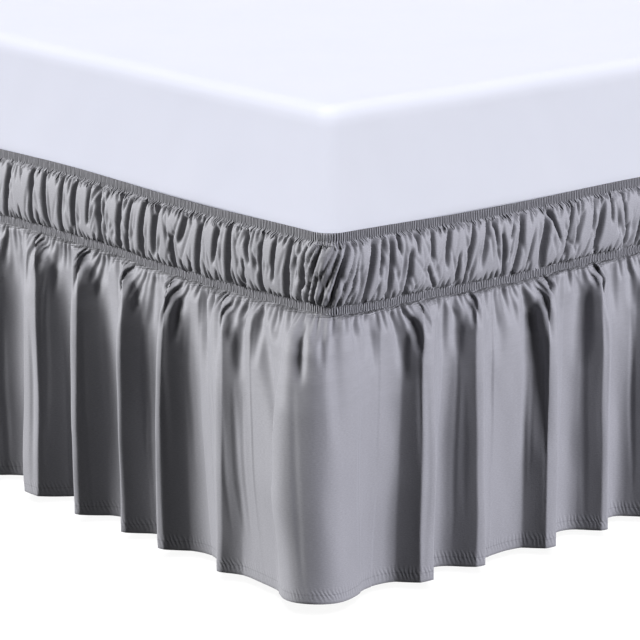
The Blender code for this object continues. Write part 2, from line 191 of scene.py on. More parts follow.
@dataclass(frozen=True)
class BrushedMicrofibre:
    """Brushed polyester microfibre, plain woven and dyed grey: smooth, with a faint sheen on the ridges."""

    tones: tuple = ("747477", "6e6e71")
    # Colour of the painted shade in the ribs' valleys at the elastics, and of the hem's real thread line.
    shade_and_thread_tone: str = "46464a"
    fibre_mm: float = 1.1
    rib_mm: float = 2.6
    pucker_mm: float = 4.6
    hem_mm: float = 11.0
    elastics: tuple = ((0.0050, 0.0050), (0.0865, 0.0036))

    def make(self) -> Material:
        """Builds the material; its UV map is the flat cloth in metres, from the head end and the top edge.

        Returns:
            The material.
        """
        made = new_material("brushed_microfibre_grey", 0.62, 0.08)
        tree = made.node_tree
        uv = add_node(tree, "TexCoord", out="UV")
        down = add_node(tree, "SeparateXYZ", links={0: uv}, out="Y")
        bands, ribs = self._bands(tree, uv, down), self._ribs(tree, uv)
        puckers, thread = self._hem(tree, uv, down)
        held = add_node(tree, "Math", links={0: ribs, 1: bands}, operation="MULTIPLY")
        height = add_node(tree, "Math", links={0: held, 1: puckers}, operation="ADD")
        # The brushed nap is about 0.1 mm fine; it is drawn at 1.1 mm so that it shows.
        weft = add_node(tree, "Mapping", {"Scale": (0.30, 1.0, 1.0)}, {"Vector": uv})
        fine = {"Scale": 1000 / self.fibre_mm, "Detail": 3.0, "Roughness": 0.7}
        nap = add_node(tree, "TexNoise", fine, {0: weft}, "Fac")
        patches = add_node(tree, "TexNoise", {"Scale": 16.0, "Detail": 2.0}, {0: uv}, "Fac")
        dyed = {"A": blend(tree, self.tones, patches), "B": nap}
        napped = add_node(tree, "Mix", {0: 0.30}, dyed, "Result", data_type="RGBA", blend_type="OVERLAY")
        # Painted shade: the cloth is coloured darker in the rib valleys inside the elastic bands; the hem's
        # real stitched thread line takes the same colour.
        deep = dict(zip(SPANS, (0.0, 0.60, 1.0, 0.0)))
        rib_valley_shade = add_node(tree, "MapRange", deep, {0: ribs}, interpolation_type="SMOOTHSTEP")
        dark = add_node(tree, "Math", links={0: rib_valley_shade, 1: bands}, operation="MULTIPLY")
        rib_shade_and_thread = add_node(tree, "Math", links={0: dark, 1: thread}, operation="MAXIMUM")
        shaded = {0: rib_shade_and_thread, "A": napped}
        colour = add_node(tree, "Mix", {"B": linear(self.shade_and_thread_tone)}, shaded, "Result", data_type="RGBA")
        surface(tree, colour, (height, 1.0, 0.0022), (nap, 0.5, 0.0004))
        return made

    def _bands(self, tree: Tree, uv: Socket, down: Socket) -> Socket:
        """Makes 1 on the two elastics and 0 elsewhere, with a ragged edge where the ribs run out.

        Args:
            tree: The material's node tree.
            uv: The place on the flat cloth.
            down: The distance from the top edge.

        Returns:
            The share.
        """
        narrow = add_node(tree, "Mapping", {"Scale": (1.0, 0.12, 1.0)}, {"Vector": uv})
        ragged = add_node(tree, "TexNoise", {"Scale": 260.0, "Detail": 1.0}, {0: narrow}, "Fac")
        teeth = add_node(tree, "MapRange", dict(zip(SPANS, (0.42, 0.72, 0.0, 0.0075))), {0: ragged})
        found = []
        for middle, half in self.elastics:
            off = add_node(tree, "Math", {1: middle}, {0: down}, operation="SUBTRACT")
            far = add_node(tree, "Math", links={0: off}, operation="ABSOLUTE")
            away = add_node(tree, "Math", links={0: far, 1: teeth}, operation="SUBTRACT")
            edge = dict(zip(SPANS, (half - 0.0012, half + 0.0016, 1.0, 0.0)))
            found.append(add_node(tree, "MapRange", edge, {0: away}, interpolation_type="SMOOTHSTEP"))
        return add_node(tree, "Math", links=dict(enumerate(found)), operation="MAXIMUM")

    def _ribs(self, tree: Tree, uv: Socket) -> Socket:
        """Makes the tiny ribs that the stitched elastic draws the cloth into.

        Args:
            tree: The material's node tree.
            uv: The place on the flat cloth.

        Returns:
            Their height.
        """
        flat = add_node(tree, "Mapping", {"Scale": (1.0, 0.35, 1.0)}, {"Vector": uv})
        bent = {"Distortion": 2.4, "Detail": 1.0, "Detail Scale": 1.6, "Detail Roughness": 0.5}
        return add_node(tree, "TexWave", {"Scale": wave_scale(self.rib_mm), **bent}, {"Vector": flat}, "Fac")

    def _hem(self, tree: Tree, uv: Socket, down: Socket) -> tuple[Socket, Socket]:
        """Makes the hem's stitched line and the small puckers that its thread draws in.

        Args:
            tree: The material's node tree.
            uv: The place on the flat cloth.
            down: The distance from the top edge.

        Returns:
            The puckers' height, and how dark the thread is.
        """
        line = SKIRT_TOP_Z - HEM_Z - self.hem_mm / 1000
        off = add_node(tree, "Math", {1: line}, {0: down}, operation="SUBTRACT")
        away = add_node(tree, "Math", links={0: off}, operation="ABSOLUTE")
        reach = dict(zip(SPANS, (0.001, 0.0115, 0.13, 0.0)))
        near = add_node(tree, "MapRange", reach, {0: away}, interpolation_type="SMOOTHSTEP")
        slanted = add_node(tree, "Mapping", {"Rotation": (0.0, 0.0, 0.30)}, {"Vector": uv})
        bent = {"Scale": wave_scale(self.pucker_mm), "Distortion": 7.0, "Detail": 3.0, "Detail Scale": 0.8}
        wave = add_node(tree, "TexWave", bent, {"Vector": slanted}, "Fac")
        puckers = add_node(tree, "Math", links={0: wave, 1: near}, operation="MULTIPLY")
        thread = add_node(tree, "MapRange", dict(zip(SPANS, (0.0003, 0.0009, 0.30, 0.0))), {0: away})
        return puckers, thread


@dataclass(frozen=True)
class CottonPercale:
    """White cotton percale, woven fine and washed: matt, with faint soft patches where it was ironed."""

    tones: tuple = ("e9ebf9", "e5e8f7")
    thread_mm: float = 1.2

    def make(self) -> Material:
        """Builds the sheet's material on object coordinates.

        Returns:
            The material.
        """
        made = new_material("cotton_percale_white", 0.85, 0.08)
        tree = made.node_tree
        place = add_node(tree, "TexCoord", out="Object")
        patches = add_node(tree, "TexNoise", {"Scale": 9.0, "Detail": 3.0}, {0: place}, "Fac")
        # The threads are a quarter of a millimetre apart; they are drawn at 1.2 mm so that they show.
        fine = {"Scale": 1000 / self.thread_mm, "Detail": 2.0}
        threads = add_node(tree, "TexNoise", fine, {0: place}, "Fac")
        soft = add_node(tree, "TexNoise", {"Scale": 14.0, "Detail": 2.0}, {0: place}, "Fac")
        surface(tree, blend(tree, self.tones, patches), (soft, 0.25, 0.004), (threads, 0.2, 0.0002))
        return made


@dataclass(frozen=True)
class WovenElastic:
    """Woven polyester elastic: a matt ribbed band, its warp of rubber threads showing as lengthwise ribs."""

    tones: tuple = ("66676a", "9a9b9d")
    rib_mm: float = 1.4

    def make(self) -> Material:
        """Builds the elastic's material; its ribs run along the band, one above the other.

        Returns:
            The material.
        """
        made = new_material("woven_elastic_grey", 0.8, 0.1)
        tree = made.node_tree
        place = add_node(tree, "TexCoord", out="Object")
        ribbed = {"Scale": wave_scale(self.rib_mm), "Distortion": 0.3}
        ribs = add_node(tree, "TexWave", ribbed, {"Vector": place}, "Fac", bands_direction="Z")
        surface(tree, blend(tree, self.tones, ribs), (ribs, 0.8, 0.0004))
        return made


@dataclass(frozen=True)
class CottonTicking:
    """Cotton ticking, a strong twill: matt cream, with its fine slanted ribs just visible."""

    tones: tuple = ("dcd8ce", "c5c0b4")
    twill_mm: float = 1.5

    def make(self) -> Material:
        """Builds the ticking's material on object coordinates.

        Returns:
            The material.
        """
        made = new_material("cotton_ticking_cream", 0.9, 0.1)
        tree = made.node_tree
        place = add_node(tree, "TexCoord", out="Object")
        # The twill's ribs are half a millimetre apart; they are drawn at 1.5 mm so that they show.
        slanted = {"Scale": wave_scale(self.twill_mm), "Distortion": 0.6, "Detail": 1.0}
        twill = add_node(tree, "TexWave", slanted, {"Vector": place}, "Fac", bands_direction="DIAGONAL")
        mottle = add_node(tree, "TexNoise", {"Scale": 22.0, "Detail": 3.0}, {0: place}, "Fac")
        both = add_node(tree, "Math", links={0: twill, 1: mottle}, operation="MULTIPLY")
        surface(tree, blend(tree, self.tones, both), (twill, 0.4, 0.0003))
        return made


@dataclass(frozen=True)
class StainedBeech:
    """Stained beech, turned and satin varnished: brown, with close straight grain up the leg."""

    tones: tuple = ("6b4a30", "54371f")

    def make(self) -> Material:
        """Builds the wood's material; its grain is stretched up the leg.

        Returns:
            The material.
        """
        made = new_material("stained_beech_satin", 0.42)
        tree = made.node_tree
        place = add_node(tree, "TexCoord", out="Object")
        along = add_node(tree, "Mapping", {"Scale": (1.0, 1.0, 0.06)}, {"Vector": place})
        close = {"Scale": 320.0, "Detail": 5.0, "Roughness": 0.65}
        grain = add_node(tree, "TexNoise", close, {0: along}, "Fac")
        surface(tree, blend(tree, self.tones, grain), (grain, 0.15, 0.0003))
        return made


@dataclass(frozen=True)
class StudioFloor:
    """Matt white studio floor, very slightly uneven in tone."""

    tones: tuple = ("fcfcfc", "fafafa")

    def make(self) -> Material:
        """Builds the floor's material on object coordinates.

        Returns:
            The material.
        """
        made = new_material("matt_white_floor", 0.95)
        tree = made.node_tree
        place = add_node(tree, "TexCoord", out="Object")
        patches = add_node(tree, "TexNoise", {"Scale": 0.6, "Detail": 2.0}, {0: place}, "Fac")
        surface(tree, blend(tree, self.tones, patches))
        return made


def add_object(name: str, data: bpy.types.ID) -> Piece:
    """Adds an object with the given mesh, lamp or camera to the scene.

    Args:
        name: Its name.
        data: What it shows.

    Returns:
        The object.
    """
    made = bpy.data.objects.new(name, data)
    bpy.context.scene.collection.objects.link(made)
    return made


def dress(piece: Piece, node: str, finish: Material) -> None:
    """Gives a piece its finish and lets it stand for its solid.

    Args:
        piece: The piece.
        node: The solid's node.
        finish: The finish.
    """
    piece.data.materials.append(finish)
    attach(piece, "root")
    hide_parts(node)
    log.info("%s: %d faces", piece.name, len(piece.data.polygons))


@dataclass(frozen=True)
class BedPath:
    """The line round the base that the skirt follows: down the left side, across the foot, up the right."""

    width: float = 0.99
    length: float = 1.91
    corner: float = 0.025
    shift_y: float = 0.0286675
    dip_depth: float = 0.0034
    dip_span: float = 0.47

    @property
    def side_run(self) -> float:
        """Length of one straight long side."""
        return self.length - 2 * self.corner

    @property
    def foot_run(self) -> float:
        """Length of the straight foot end."""
        return self.width - 2 * self.corner

    @property
    def turn(self) -> float:
        """Length of one rounded corner."""
        return self.corner * math.pi / 2

    @property
    def left_corner(self) -> float:
        """Place of the middle of the left foot corner."""
        return self.side_run + self.turn / 2

    @property
    def right_corner(self) -> float:
        """Place of the middle of the right foot corner."""
        return self.left_corner + self.turn + self.foot_run

    @property
    def side_line(self) -> float:
        """Place from which the left side's folds are measured, back towards the head end."""
        return self.side_run + self.corner

    @property
    def foot_line(self) -> float:
        """Place from which the foot end's folds are measured."""
        return self.side_run + self.turn - self.corner

    @property
    def total(self) -> float:
        """Length of the whole path."""
        return 2 * self.side_run + 2 * self.turn + self.foot_run

    def place(self, along: np.ndarray, out: np.ndarray) -> Pair:
        """Finds points beside the path.

        Args:
            along: Distance along the path.
            out: Distance outwards from the side of the base.

        Returns:
            Their X and Y.
        """
        first = np.clip((along - self.side_run) / self.corner, 0, math.pi / 2)
        beyond = along - self.side_run - self.turn
        second = np.clip((beyond - self.foot_run) / self.corner, 0, math.pi / 2)
        angle = math.pi + first + second
        down = np.minimum(along, self.side_run)
        across = np.clip(beyond, 0, self.foot_run)
        up = np.maximum(along - self.side_run - 2 * self.turn - self.foot_run, 0)
        inner_x = -self.width / 2 + self.corner + across
        inner_y = self.length / 2 - self.corner - down + up
        reach = self.corner + out
        return inner_x + reach * np.cos(angle), inner_y + reach * np.sin(angle) + self.shift_y

    def dip(self, along: np.ndarray) -> np.ndarray:
        """How far the top edge hangs down between the places where the elastic grips."""
        return self.dip_depth * np.sin(math.pi * (along - self.left_corner) / self.dip_span) ** 2


@dataclass(frozen=True)
class Fold:
    """One large fold, from its near valley up a steep wall to its brow, over its crest and down its far side.

    The places are distances from the foot corner, along a face: "crease", "fold" and "peak" are those of the
    valley, the brow and the ridge at the lower elastic, and "valley", "brow" and "ridge" those at the hem.
    "floor" is how far out the valley hangs at the hem, and "reach" how far out the ridge does.
    """

    crease: float
    valley: float
    floor: float
    fold: float
    brow: float
    peak: float
    ridge: float
    reach: float


@dataclass
class FoldPlan:
    """The skirt's large folds, as the solids have them: the photograph's own near the corner, then more.

    "far_side" is the share of a fold's width that lies past its ridge. The rows of "corner_section" are
    shares of the corner fold's run and how far out it hangs there.
    """

    path: BedPath
    width: float = 0.089
    far_side: float = 0.42
    seed: int = 7
    side_folds: tuple = (
        Fold(0.105, 0.066, 0.036, 0.179, 0.119, 0.187, 0.127, 0.053),
        Fold(0.212, 0.178, 0.018, 0.271, 0.228, 0.279, 0.235, 0.058),
        Fold(0.291, 0.270, 0.016, 0.364, 0.307, 0.372, 0.312, 0.052),
        Fold(0.386, 0.350, 0.010, 0.453, 0.394, 0.460, 0.402, 0.054),
        Fold(0.474, 0.459, 0.003, 0.542, 0.490, 0.552, 0.516, 0.046),
        Fold(0.585, 0.566, 0.002, 0.640, 0.608, 0.648, 0.623, 0.050),
    )
    foot_folds: tuple = (
        Fold(0.066, 0.050, 0.016, 0.134, 0.096, 0.142, 0.114, 0.048),
        Fold(0.164, 0.148, 0.008, 0.214, 0.183, 0.222, 0.193, 0.043),
        Fold(0.234, 0.222, 0.020, 0.325, 0.287, 0.333, 0.301, 0.049),
        Fold(0.352, 0.346, 0.004, 0.405, 0.384, 0.412, 0.393, 0.041),
        Fold(0.426, 0.436, 0.004, 0.482, 0.468, 0.489, 0.488, 0.044),
    )
    corner_section: tuple = (
        (0.000, 0.036), (0.150, 0.037), (0.290, 0.039), (0.385, 0.043), (0.440, 0.056), (0.475, 0.066),
        (0.510, 0.0680), (0.550, 0.0670), (0.583, 0.0635), (0.607, 0.059), (0.640, 0.048), (0.690, 0.035),
        (0.778, 0.023), (0.890, 0.018), (1.000, 0.016),
    )
    folds: list = field(default_factory=list)

    def _fill(self, first: tuple, room: float, chance: random.Random) -> list:
        """Adds plain folds after the given ones until they fill the room.

        Args:
            first: The given folds, their places as distances from the start.
            room: Length of path that the folds share.
            chance: The seeded source of their unevenness.

        Returns:
            The given folds and the new ones.
        """
        last = first[-1].ridge + self.width * self.far_side
        count = round((room - last) / self.width)
        widths = [chance.uniform(0.80, 1.20) for _ in range(count)]
        scale = (room - last) / sum(widths)
        made = list(first)
        for share in widths:
            size = share * scale
            ridge = last + size * chance.uniform(0.54, 0.66)
            brow = ridge - size * chance.uniform(0.06, 0.26)
            drift = chance.uniform(-0.004, 0.014)
            floor = chance.uniform(0.004, 0.018)
            reach = chance.uniform(0.045, 0.056)
            made.append(Fold(last + drift, last, floor, brow + drift, brow, ridge + drift, ridge, reach))
            last += size
        return made

    def _knots(self, folds: list, start: float, way: int) -> list:
        """Turns one face's folds into valleys and ridges on the path.

        Args:
            folds: The folds, from the corner outwards.
            start: Place on the path of the face's corner line.
            way: 1 where the path leaves the corner, -1 where it comes to it.

        Returns:
            The valleys and ridges in the order of the path.
        """
        knots = []
        for fold in folds:
            valley = {"top": fold.crease, "hem": fold.valley}
            ridge = {"top": fold.peak, "hem": fold.ridge, "brow_top": fold.fold, "brow_hem": fold.brow}
            placed = [{name: start + way * place for name, place in knot.items()} for knot in (valley, ridge)]
            knots += [{**placed[0], "out": fold.floor}, {**placed[1], "out": fold.reach, "way": way}]
        return knots if way > 0 else knots[::-1]

    def lay_out(self) -> None:
        """Places every fold along the path."""
        chance = random.Random(self.seed)
        path = self.path
        side_line = path.side_line
        far_line = path.right_corner + path.turn / 2 + path.corner
        near = self.foot_folds[0]
        room = far_line - path.foot_line - near.crease
        left = self._knots(self._fill(self.side_folds, side_line, chance), side_line, -1)
        foot = self._knots(self._fill(self.foot_folds, room, chance), path.foot_line, 1)
        right_line = path.total - side_line
        right = self._knots(self._fill(self.side_folds[:1], side_line, chance), right_line, 1)
        edge = {"top": 0.0, "hem": 0.0, "out": 0.004}
        far = {**edge, "top": path.total, "hem": path.total}
        near_right = {"top": far_line - near.crease, "hem": far_line - near.valley, "out": near.floor}
        row = [edge, *left, {"way": 0}, *foot, near_right, {"way": 0}, *right, far]
        for i in range(0, len(row) - 2, 2):
            first, top, last = row[i], row[i + 1], row[i + 2]
            self.folds.append({"corner": top["way"] == 0, "first": first, "ridge": top, "last": last})
        right_fold = [fold for fold in self.folds if fold["corner"]][1]
        right_fold["mirrored"] = True

    def column(self, knot: str, name: str) -> np.ndarray:
        """One value of every fold's first valley, ridge or last valley, as an upright array."""
        return np.array([float(fold[knot].get(name, 0.0)) for fold in self.folds])[:, None]

    def between(self, knot: str, share: float, upper: str = "top", lower: str = "hem") -> np.ndarray:
        """The places of every fold's knot, a share of the way from its upper to its lower one."""
        return self.column(knot, upper) * (1 - share) + self.column(knot, lower) * share


@dataclass
class Creases:
    """Main creases placed on the two faces that the photograph shows.

    Each row of a heading is a gather between the elastics: its distance from the foot corner as the camera
    sees it, its ends as shares of the heading from the top, its depth and half width in millimetres, and its
    lean. The camera sees the puffed heading a little farther from the corner than where it lies, by
    left_shift and foot_shift. Each row of the free cloth is a hollow that starts at free_top: its distance
    from the corner at its top and its foot, the height of its foot, and the same depth and half width.
    """

    left_shift: float = 0.0085
    foot_shift: float = 0.0060
    free_top: float = 0.322
    left_heading: tuple = (
        (0.600, 0, 1, 13, 5.4, 0.16), (0.550, 0, 1, 14, 5.2, 0.03), (0.521, 0, 1, 13, 5.6, -0.08),
        (0.488, 0.05, 1, 14, 5.4, 0.06), (0.461, 0, 1, 14, 5.8, 0.05), (0.434, 0, 0.70, 12, 3.8, 0.08),
        (0.413, 0, 1, 14, 7.0, -0.02), (0.398, 0.10, 0.80, 6, 2.4, -0.10), (0.372, 0, 1, 14, 5.2, 0.10),
        (0.353, 0.08, 1, 13, 4.4, 0.14), (0.327, 0, 1, 14, 5.6, 0.10), (0.302, 0, 0.86, 12, 5.8, 0.08),
        (0.271, 0.42, 1, 13, 5.8, -0.05), (0.257, 0.08, 0.55, 9, 5.6, 0.30), (0.221, 0, 1, 14, 5.6, 0.14),
        (0.192, 0.10, 0.70, 9, 4.6, 0.10), (0.168, 0, 1, 14, 5.6, 0.03), (0.129, 0.05, 0.55, 10, 4.2, -0.22),
        (0.139, 0.50, 1, 8, 3.4, 0.12), (0.108, 0.05, 1, 13, 5.0, 0), (0.087, 0.08, 0.75, 9, 4.2, 0.05),
        (0.063, 0.05, 1, 13, 5.6, 0.12), (0.039, 0.05, 0.95, 11, 3.8, 0.14), (0.022, 0.25, 1, 6, 2.0, 0.18),
    )
    foot_heading: tuple = (
        (-0.014, 0.1, 1, 3, 1.8, 0.20), (-0.007, 0, 0.9, 4, 1.6, 0.28), (0, 0, 1, 7, 2.2, 0.22),
        (0.008, 0.1, 1, 3, 1.6, 0.30), (0.014, 0, 0.8, 4, 1.8, 0.24), (0.022, 0, 0.95, 9, 2.8, 0.26),
        (0.030, 0.1, 1, 4, 1.7, 0.30), (0.037, 0.20, 1, 7, 2.4, 0.26), (0.058, 0, 1, 12, 4.8, 0.24),
        (0.072, 0, 0.60, 9, 3.2, 0.20), (0.088, 0, 0.95, 10, 4.6, 0.08), (0.104, 0, 0.35, 8, 2.8, -0.10),
        (0.114, 0.25, 1, 13, 4.8, 0.16), (0.127, 0, 0.35, 8, 3.0, -0.05), (0.139, 0.58, 1, 9, 3.0, -0.50),
        (0.149, 0, 0.50, 11, 3.6, 0.05), (0.172, 0.05, 0.65, 11, 4.2, 0.16), (0.189, 0.45, 1, 9, 3.4, 0.10),
        (0.206, 0.05, 1, 11, 4.2, 0.22), (0.226, 0, 0.75, 9, 4.4, 0.26), (0.247, 0, 0.45, 10, 3.2, -0.10),
        (0.255, 0.30, 1, 13, 4.4, -0.04), (0.262, 0, 0.40, 8, 2.6, 0.40), (0.279, 0, 1, 13, 5.0, 0.20),
        (0.300, 0.30, 1, 6, 3.0, 0.24), (0.320, 0, 1, 14, 6.0, 0.16), (0.341, 0.05, 0.60, 10, 2.8, -0.34),
        (0.356, 0, 1, 11, 3.8, 0.24), (0.373, 0.20, 0.80, 8, 4.0, 0.36), (0.394, 0, 0.50, 8, 3.4, 0.22),
        (0.406, 0.10, 0.95, 12, 4.8, 0.26), (0.424, 0, 0.45, 10, 3.4, 0.16), (0.447, 0, 0.60, 10, 3.2, -0.08),
        (0.452, 0.55, 1, 13, 4.0, 0.05), (0.474, 0, 1, 10, 3.6, 0.22),
    )
    left_free: tuple = (
        (0.555, 0.553, 0.270, 5.0, 4.0), (0.532, 0.526, 0.255, 6.0, 4.5), (0.514, 0.512, 0.280, 5.0, 3.6),
        (0.452, 0.446, 0.270, 6.0, 4.2), (0.432, 0.424, 0.285, 4.0, 3.2), (0.366, 0.352, 0.150, 9.0, 7.0),
        (0.344, 0.340, 0.290, 4.0, 3.2), (0.283, 0.272, 0.265, 5.0, 4.0), (0.262, 0.258, 0.290, 4.0, 3.0),
        (0.206, 0.196, 0.215, 8.0, 5.0), (0.188, 0.184, 0.270, 5.0, 3.6), (0.166, 0.152, 0.235, 7.0, 4.6),
        (0.142, 0.134, 0.275, 5.0, 3.4), (0.128, 0.120, 0.235, 8.0, 5.0), (0.099, 0.058, 0.130, 8.5, 6.5),
        (0.080, 0.072, 0.285, 4.0, 3.0), (0.055, 0.044, 0.225, 4.5, 4.6), (0.032, 0.026, 0.250, 3.0, 4.4),
    )
    foot_free: tuple = (
        (0.012, 0.016, 0.180, 3.0, 5.0), (0.035, 0.040, 0.265, 4.0, 3.8), (0.054, 0.052, 0.270, 6.0, 4.0),
        (0.086, 0.092, 0.240, 5.0, 4.0), (0.103, 0.108, 0.268, 6.0, 3.8), (0.124, 0.122, 0.290, 4.0, 3.0),
        (0.142, 0.142, 0.275, 5.0, 3.4), (0.178, 0.178, 0.250, 5.0, 4.0), (0.200, 0.204, 0.285, 4.0, 3.2),
        (0.243, 0.240, 0.230, 4.0, 5.0), (0.254, 0.256, 0.275, 5.0, 3.4), (0.276, 0.288, 0.120, 8.0, 7.5),
        (0.318, 0.315, 0.235, 7.0, 4.0), (0.336, 0.334, 0.270, 5.0, 3.6), (0.372, 0.366, 0.200, 7.0, 6.0),
        (0.396, 0.400, 0.250, 6.0, 3.8), (0.412, 0.412, 0.285, 4.0, 3.0), (0.452, 0.450, 0.260, 6.0, 4.2),
    )


def glide(knots: np.ndarray, places: np.ndarray) -> np.ndarray:
    """Runs smoothly from knot to knot.

    Args:
        knots: A value or a row of values at each whole place.
        places: The places asked for.

    Returns:
        The value or row at each of them.
    """
    low = places.astype(int)
    part = (places - low).reshape(-1, *[1] * (knots.ndim - 1))
    ease = part * part * (3 - 2 * part)
    return knots[low] * (1 - ease) + knots[low + 1] * ease


@dataclass
class SkirtCloth:
    """The skirt's cloth, worked out as one grid of points and then cut into its three panels.

    "puff" is how far the heading stands out between the elastics, "swell" the pitch and share of its
    unevenness, "lip" the small roll under the lower elastic, and "wander" the pitch and size of the drift up
    and down of its seam. Each of the "dents" has a pitch along the path, a height and a depth. "floor_rise"
    and "wall_rise" are the share of a fold's depth gained on its floor and on its wall, and how suddenly.
    "deepening" gives the share of the folds' full depth at distances below the lower elastic. "fullness" and
    "turnings", the cloth for each length held and the height for the rolled top and the hem, are not used.
    """

    path: BedPath
    plan: FoldPlan
    creases: Creases
    near_step: float = 0.00116
    far_step: float = 0.0036
    near_left: float = 0.66
    near_foot: float = 0.50
    puff: float = 0.0112
    puff_edge: float = 0.30
    lip: float = 0.0048
    lip_span: tuple = (0.006, 0.030)
    wall_slope: float = 0.37
    hem_lift: float = 0.004
    fullness: float = 1.5
    turnings: float = 0.03
    gather_pitch: float = 0.029
    brow_waver: float = 0.0022
    wall_limits: tuple = (0.12, 0.62)
    floor_rise: tuple = (0.22, 2.6)
    wall_rise: tuple = (0.72, 1.1)
    swell: tuple = (0.031, 0.14)
    wander: tuple = ((0.013, 0.0009), (0.05, 0.0011))
    dents: tuple = ((0.030, 0.09, 0.0024), (0.013, 0.05, 0.0007))
    seed: int = 5
    deepening: tuple = (
        (0.0, 0.0), (0.006, 0.17), (0.020, 0.48), (0.035, 0.64), (0.065, 0.77), (0.098, 0.85), (0.203, 0.96),
        (FREE_DROP, 1.0),
    )

    def __post_init__(self) -> None:
        """Lays out the grid's columns and rows and the empty crease fields."""
        self.chance = random.Random(self.seed)
        self.along, self.owner, self.fraction = self._columns()
        self.z, self.tuck = self._rows()
        shape = (len(self.z), len(self.along))
        self.inward = np.zeros(shape)
        self.slide = np.zeros(shape)
        count = len(self.plan.folds)
        self.phase = np.array([self.chance.uniform(0, 6.28) for _ in range(count)])

    def _step_at(self, along: float) -> float:
        """Distance between columns: small where the photograph looks, wider elsewhere.

        Args:
            along: A place on the path.

        Returns:
            The distance there.
        """
        path = self.path
        near = path.left_corner - self.near_left < along < path.left_corner + self.near_foot
        return self.near_step if near else self.far_step

    def _columns(self) -> tuple[np.ndarray, np.ndarray, np.ndarray]:
        """Lays out the grid's columns, evenly spaced over each fold.

        Returns:
            Each column's place on the path at the lower elastic, its fold, and its share of that fold.
        """
        path = self.path
        along, owner, fraction = [], [], []
        for k, fold in enumerate(self.plan.folds):
            start, end = fold["first"]["top"], fold["last"]["top"]
            width = end - start
            hem_width = fold["last"]["hem"] - fold["first"]["hem"]
            count = round(max(width, hem_width) / self._step_at((start + end) / 2))
            shares = np.linspace(0, 1, count, endpoint=False)
            for cut in (path.left_corner, path.right_corner):
                if start < cut < end:
                    shares[np.argmin(np.abs(shares - (cut - start) / width))] = (cut - start) / width
            along.append(start + shares * width)
            owner.append(np.full(count, k))
            fraction.append(shares)
        along.append([path.total])
        owner.append([len(self.plan.folds) - 1])
        fraction.append([1.0])
        return np.concatenate(along), np.concatenate(owner), np.concatenate(fraction)

    def _rows(self) -> Pair:
        """Lays out the grid's rows from the roll of the top edge to the turned hem.

        Returns:
            Heights of the rows and how far each is tucked in.
        """
        face = list(np.linspace(SKIRT_TOP_Z, SKIRT_TOP_Z - ELASTIC_HEIGHT, 5)[:-1])
        face += list(np.linspace(SKIRT_TOP_Z - ELASTIC_HEIGHT, LOWER_ELASTIC_TOP_Z, 31)[:-1])
        face += list(np.linspace(LOWER_ELASTIC_TOP_Z, FREE_TOP_Z, 4)[:-1])
        down = 0.0
        while down < FREE_DROP - 0.012:
            face.append(FREE_TOP_Z - down)
            down += 0.0024 + min(down / 0.12, 1.0) * 0.0050
        face += list(np.linspace(HEM_Z + 0.010, HEM_Z, 4))
        roll = [(SKIRT_TOP_Z - 0.0006, 0.0012), (SKIRT_TOP_Z + 0.0002, 0.0006)]
        hem = [(HEM_Z - 0.0003, 0.0005), (HEM_Z + 0.0003, 0.0010), (HEM_Z + 0.004, 0.0013)]
        hem.append((HEM_Z + 0.010, 0.0013))
        z, tuck = np.array(roll + [(height, 0.0) for height in face] + hem).T
        return z, tuck

    def _share(self, down: float) -> float:
        """Share of the folds' full depth at a distance below the lower elastic."""
        return float(np.interp(down, *zip(*self.deepening)))

    def _plain(self, down: float, share: float) -> Pair:
        """Sections of the plain folds: a floor, a steep wall on the near side, a crest and a far side.

        Args:
            down: Distance below the lower elastic.
            share: Share of the folds' full depth there.

        Returns:
            Place along the path and distance outwards of every point.
        """
        plan, moved = self.plan, down / FREE_DROP
        way = plan.column("ridge", "way")
        first, last = plan.between("first", moved), plan.between("last", moved)
        first_floor, last_floor = plan.column("first", "out"), plan.column("last", "out")
        near, far = np.where(way > 0, first, last), np.where(way > 0, last, first)
        near_floor = np.where(way > 0, first_floor, last_floor)
        far_floor = np.where(way > 0, last_floor, first_floor)
        ridge, brow = plan.between("ridge", share), plan.between("ridge", share, "brow_top", "brow_hem")
        reach = plan.column("ridge", "out")
        brow = brow + self.brow_waver * moved * np.sin(self.phase[:, None] + 17 * down)
        up, over, back = (np.linspace(0, 1, count)[None, :] for count in (61, 17, 45))
        over, back = over[:, 1:], back[:, 1:]
        room = np.maximum(np.abs(brow - near), 1e-4)
        softer = 1 + (0.022 / np.maximum(reach - near_floor, 0.008)) ** 3
        wall = np.clip(self.wall_slope * share * (reach - near_floor) * softer / room, *self.wall_limits)
        climb = np.clip((up - 1 + wall) / wall, 0, 1)
        ground = np.clip(up / (1 - wall), 0, 1)
        (gentle, floor_power), (steep, wall_power) = self.floor_rise, self.wall_rise
        rise = gentle * ground**floor_power + steep * climb**wall_power
        crest = 0.94 + 0.06 * np.sin(math.pi / 2 * over) + 0 * room
        fall = 0.5 * (1 + np.cos(math.pi * back**0.62)) + 0 * room
        depth = np.concatenate([rise, crest, fall], axis=1)
        runs = (near, brow, up), (brow, ridge, over), (ridge, far, back)
        u = np.concatenate([here + (there - here) * share_of for here, there, share_of in runs], axis=1)
        floor = near_floor + (far_floor - near_floor) * (u - near) / (far - near)
        out = floor + (reach - floor) * depth
        return np.where(way > 0, u, u[:, ::-1]), np.where(way > 0, out, out[:, ::-1])

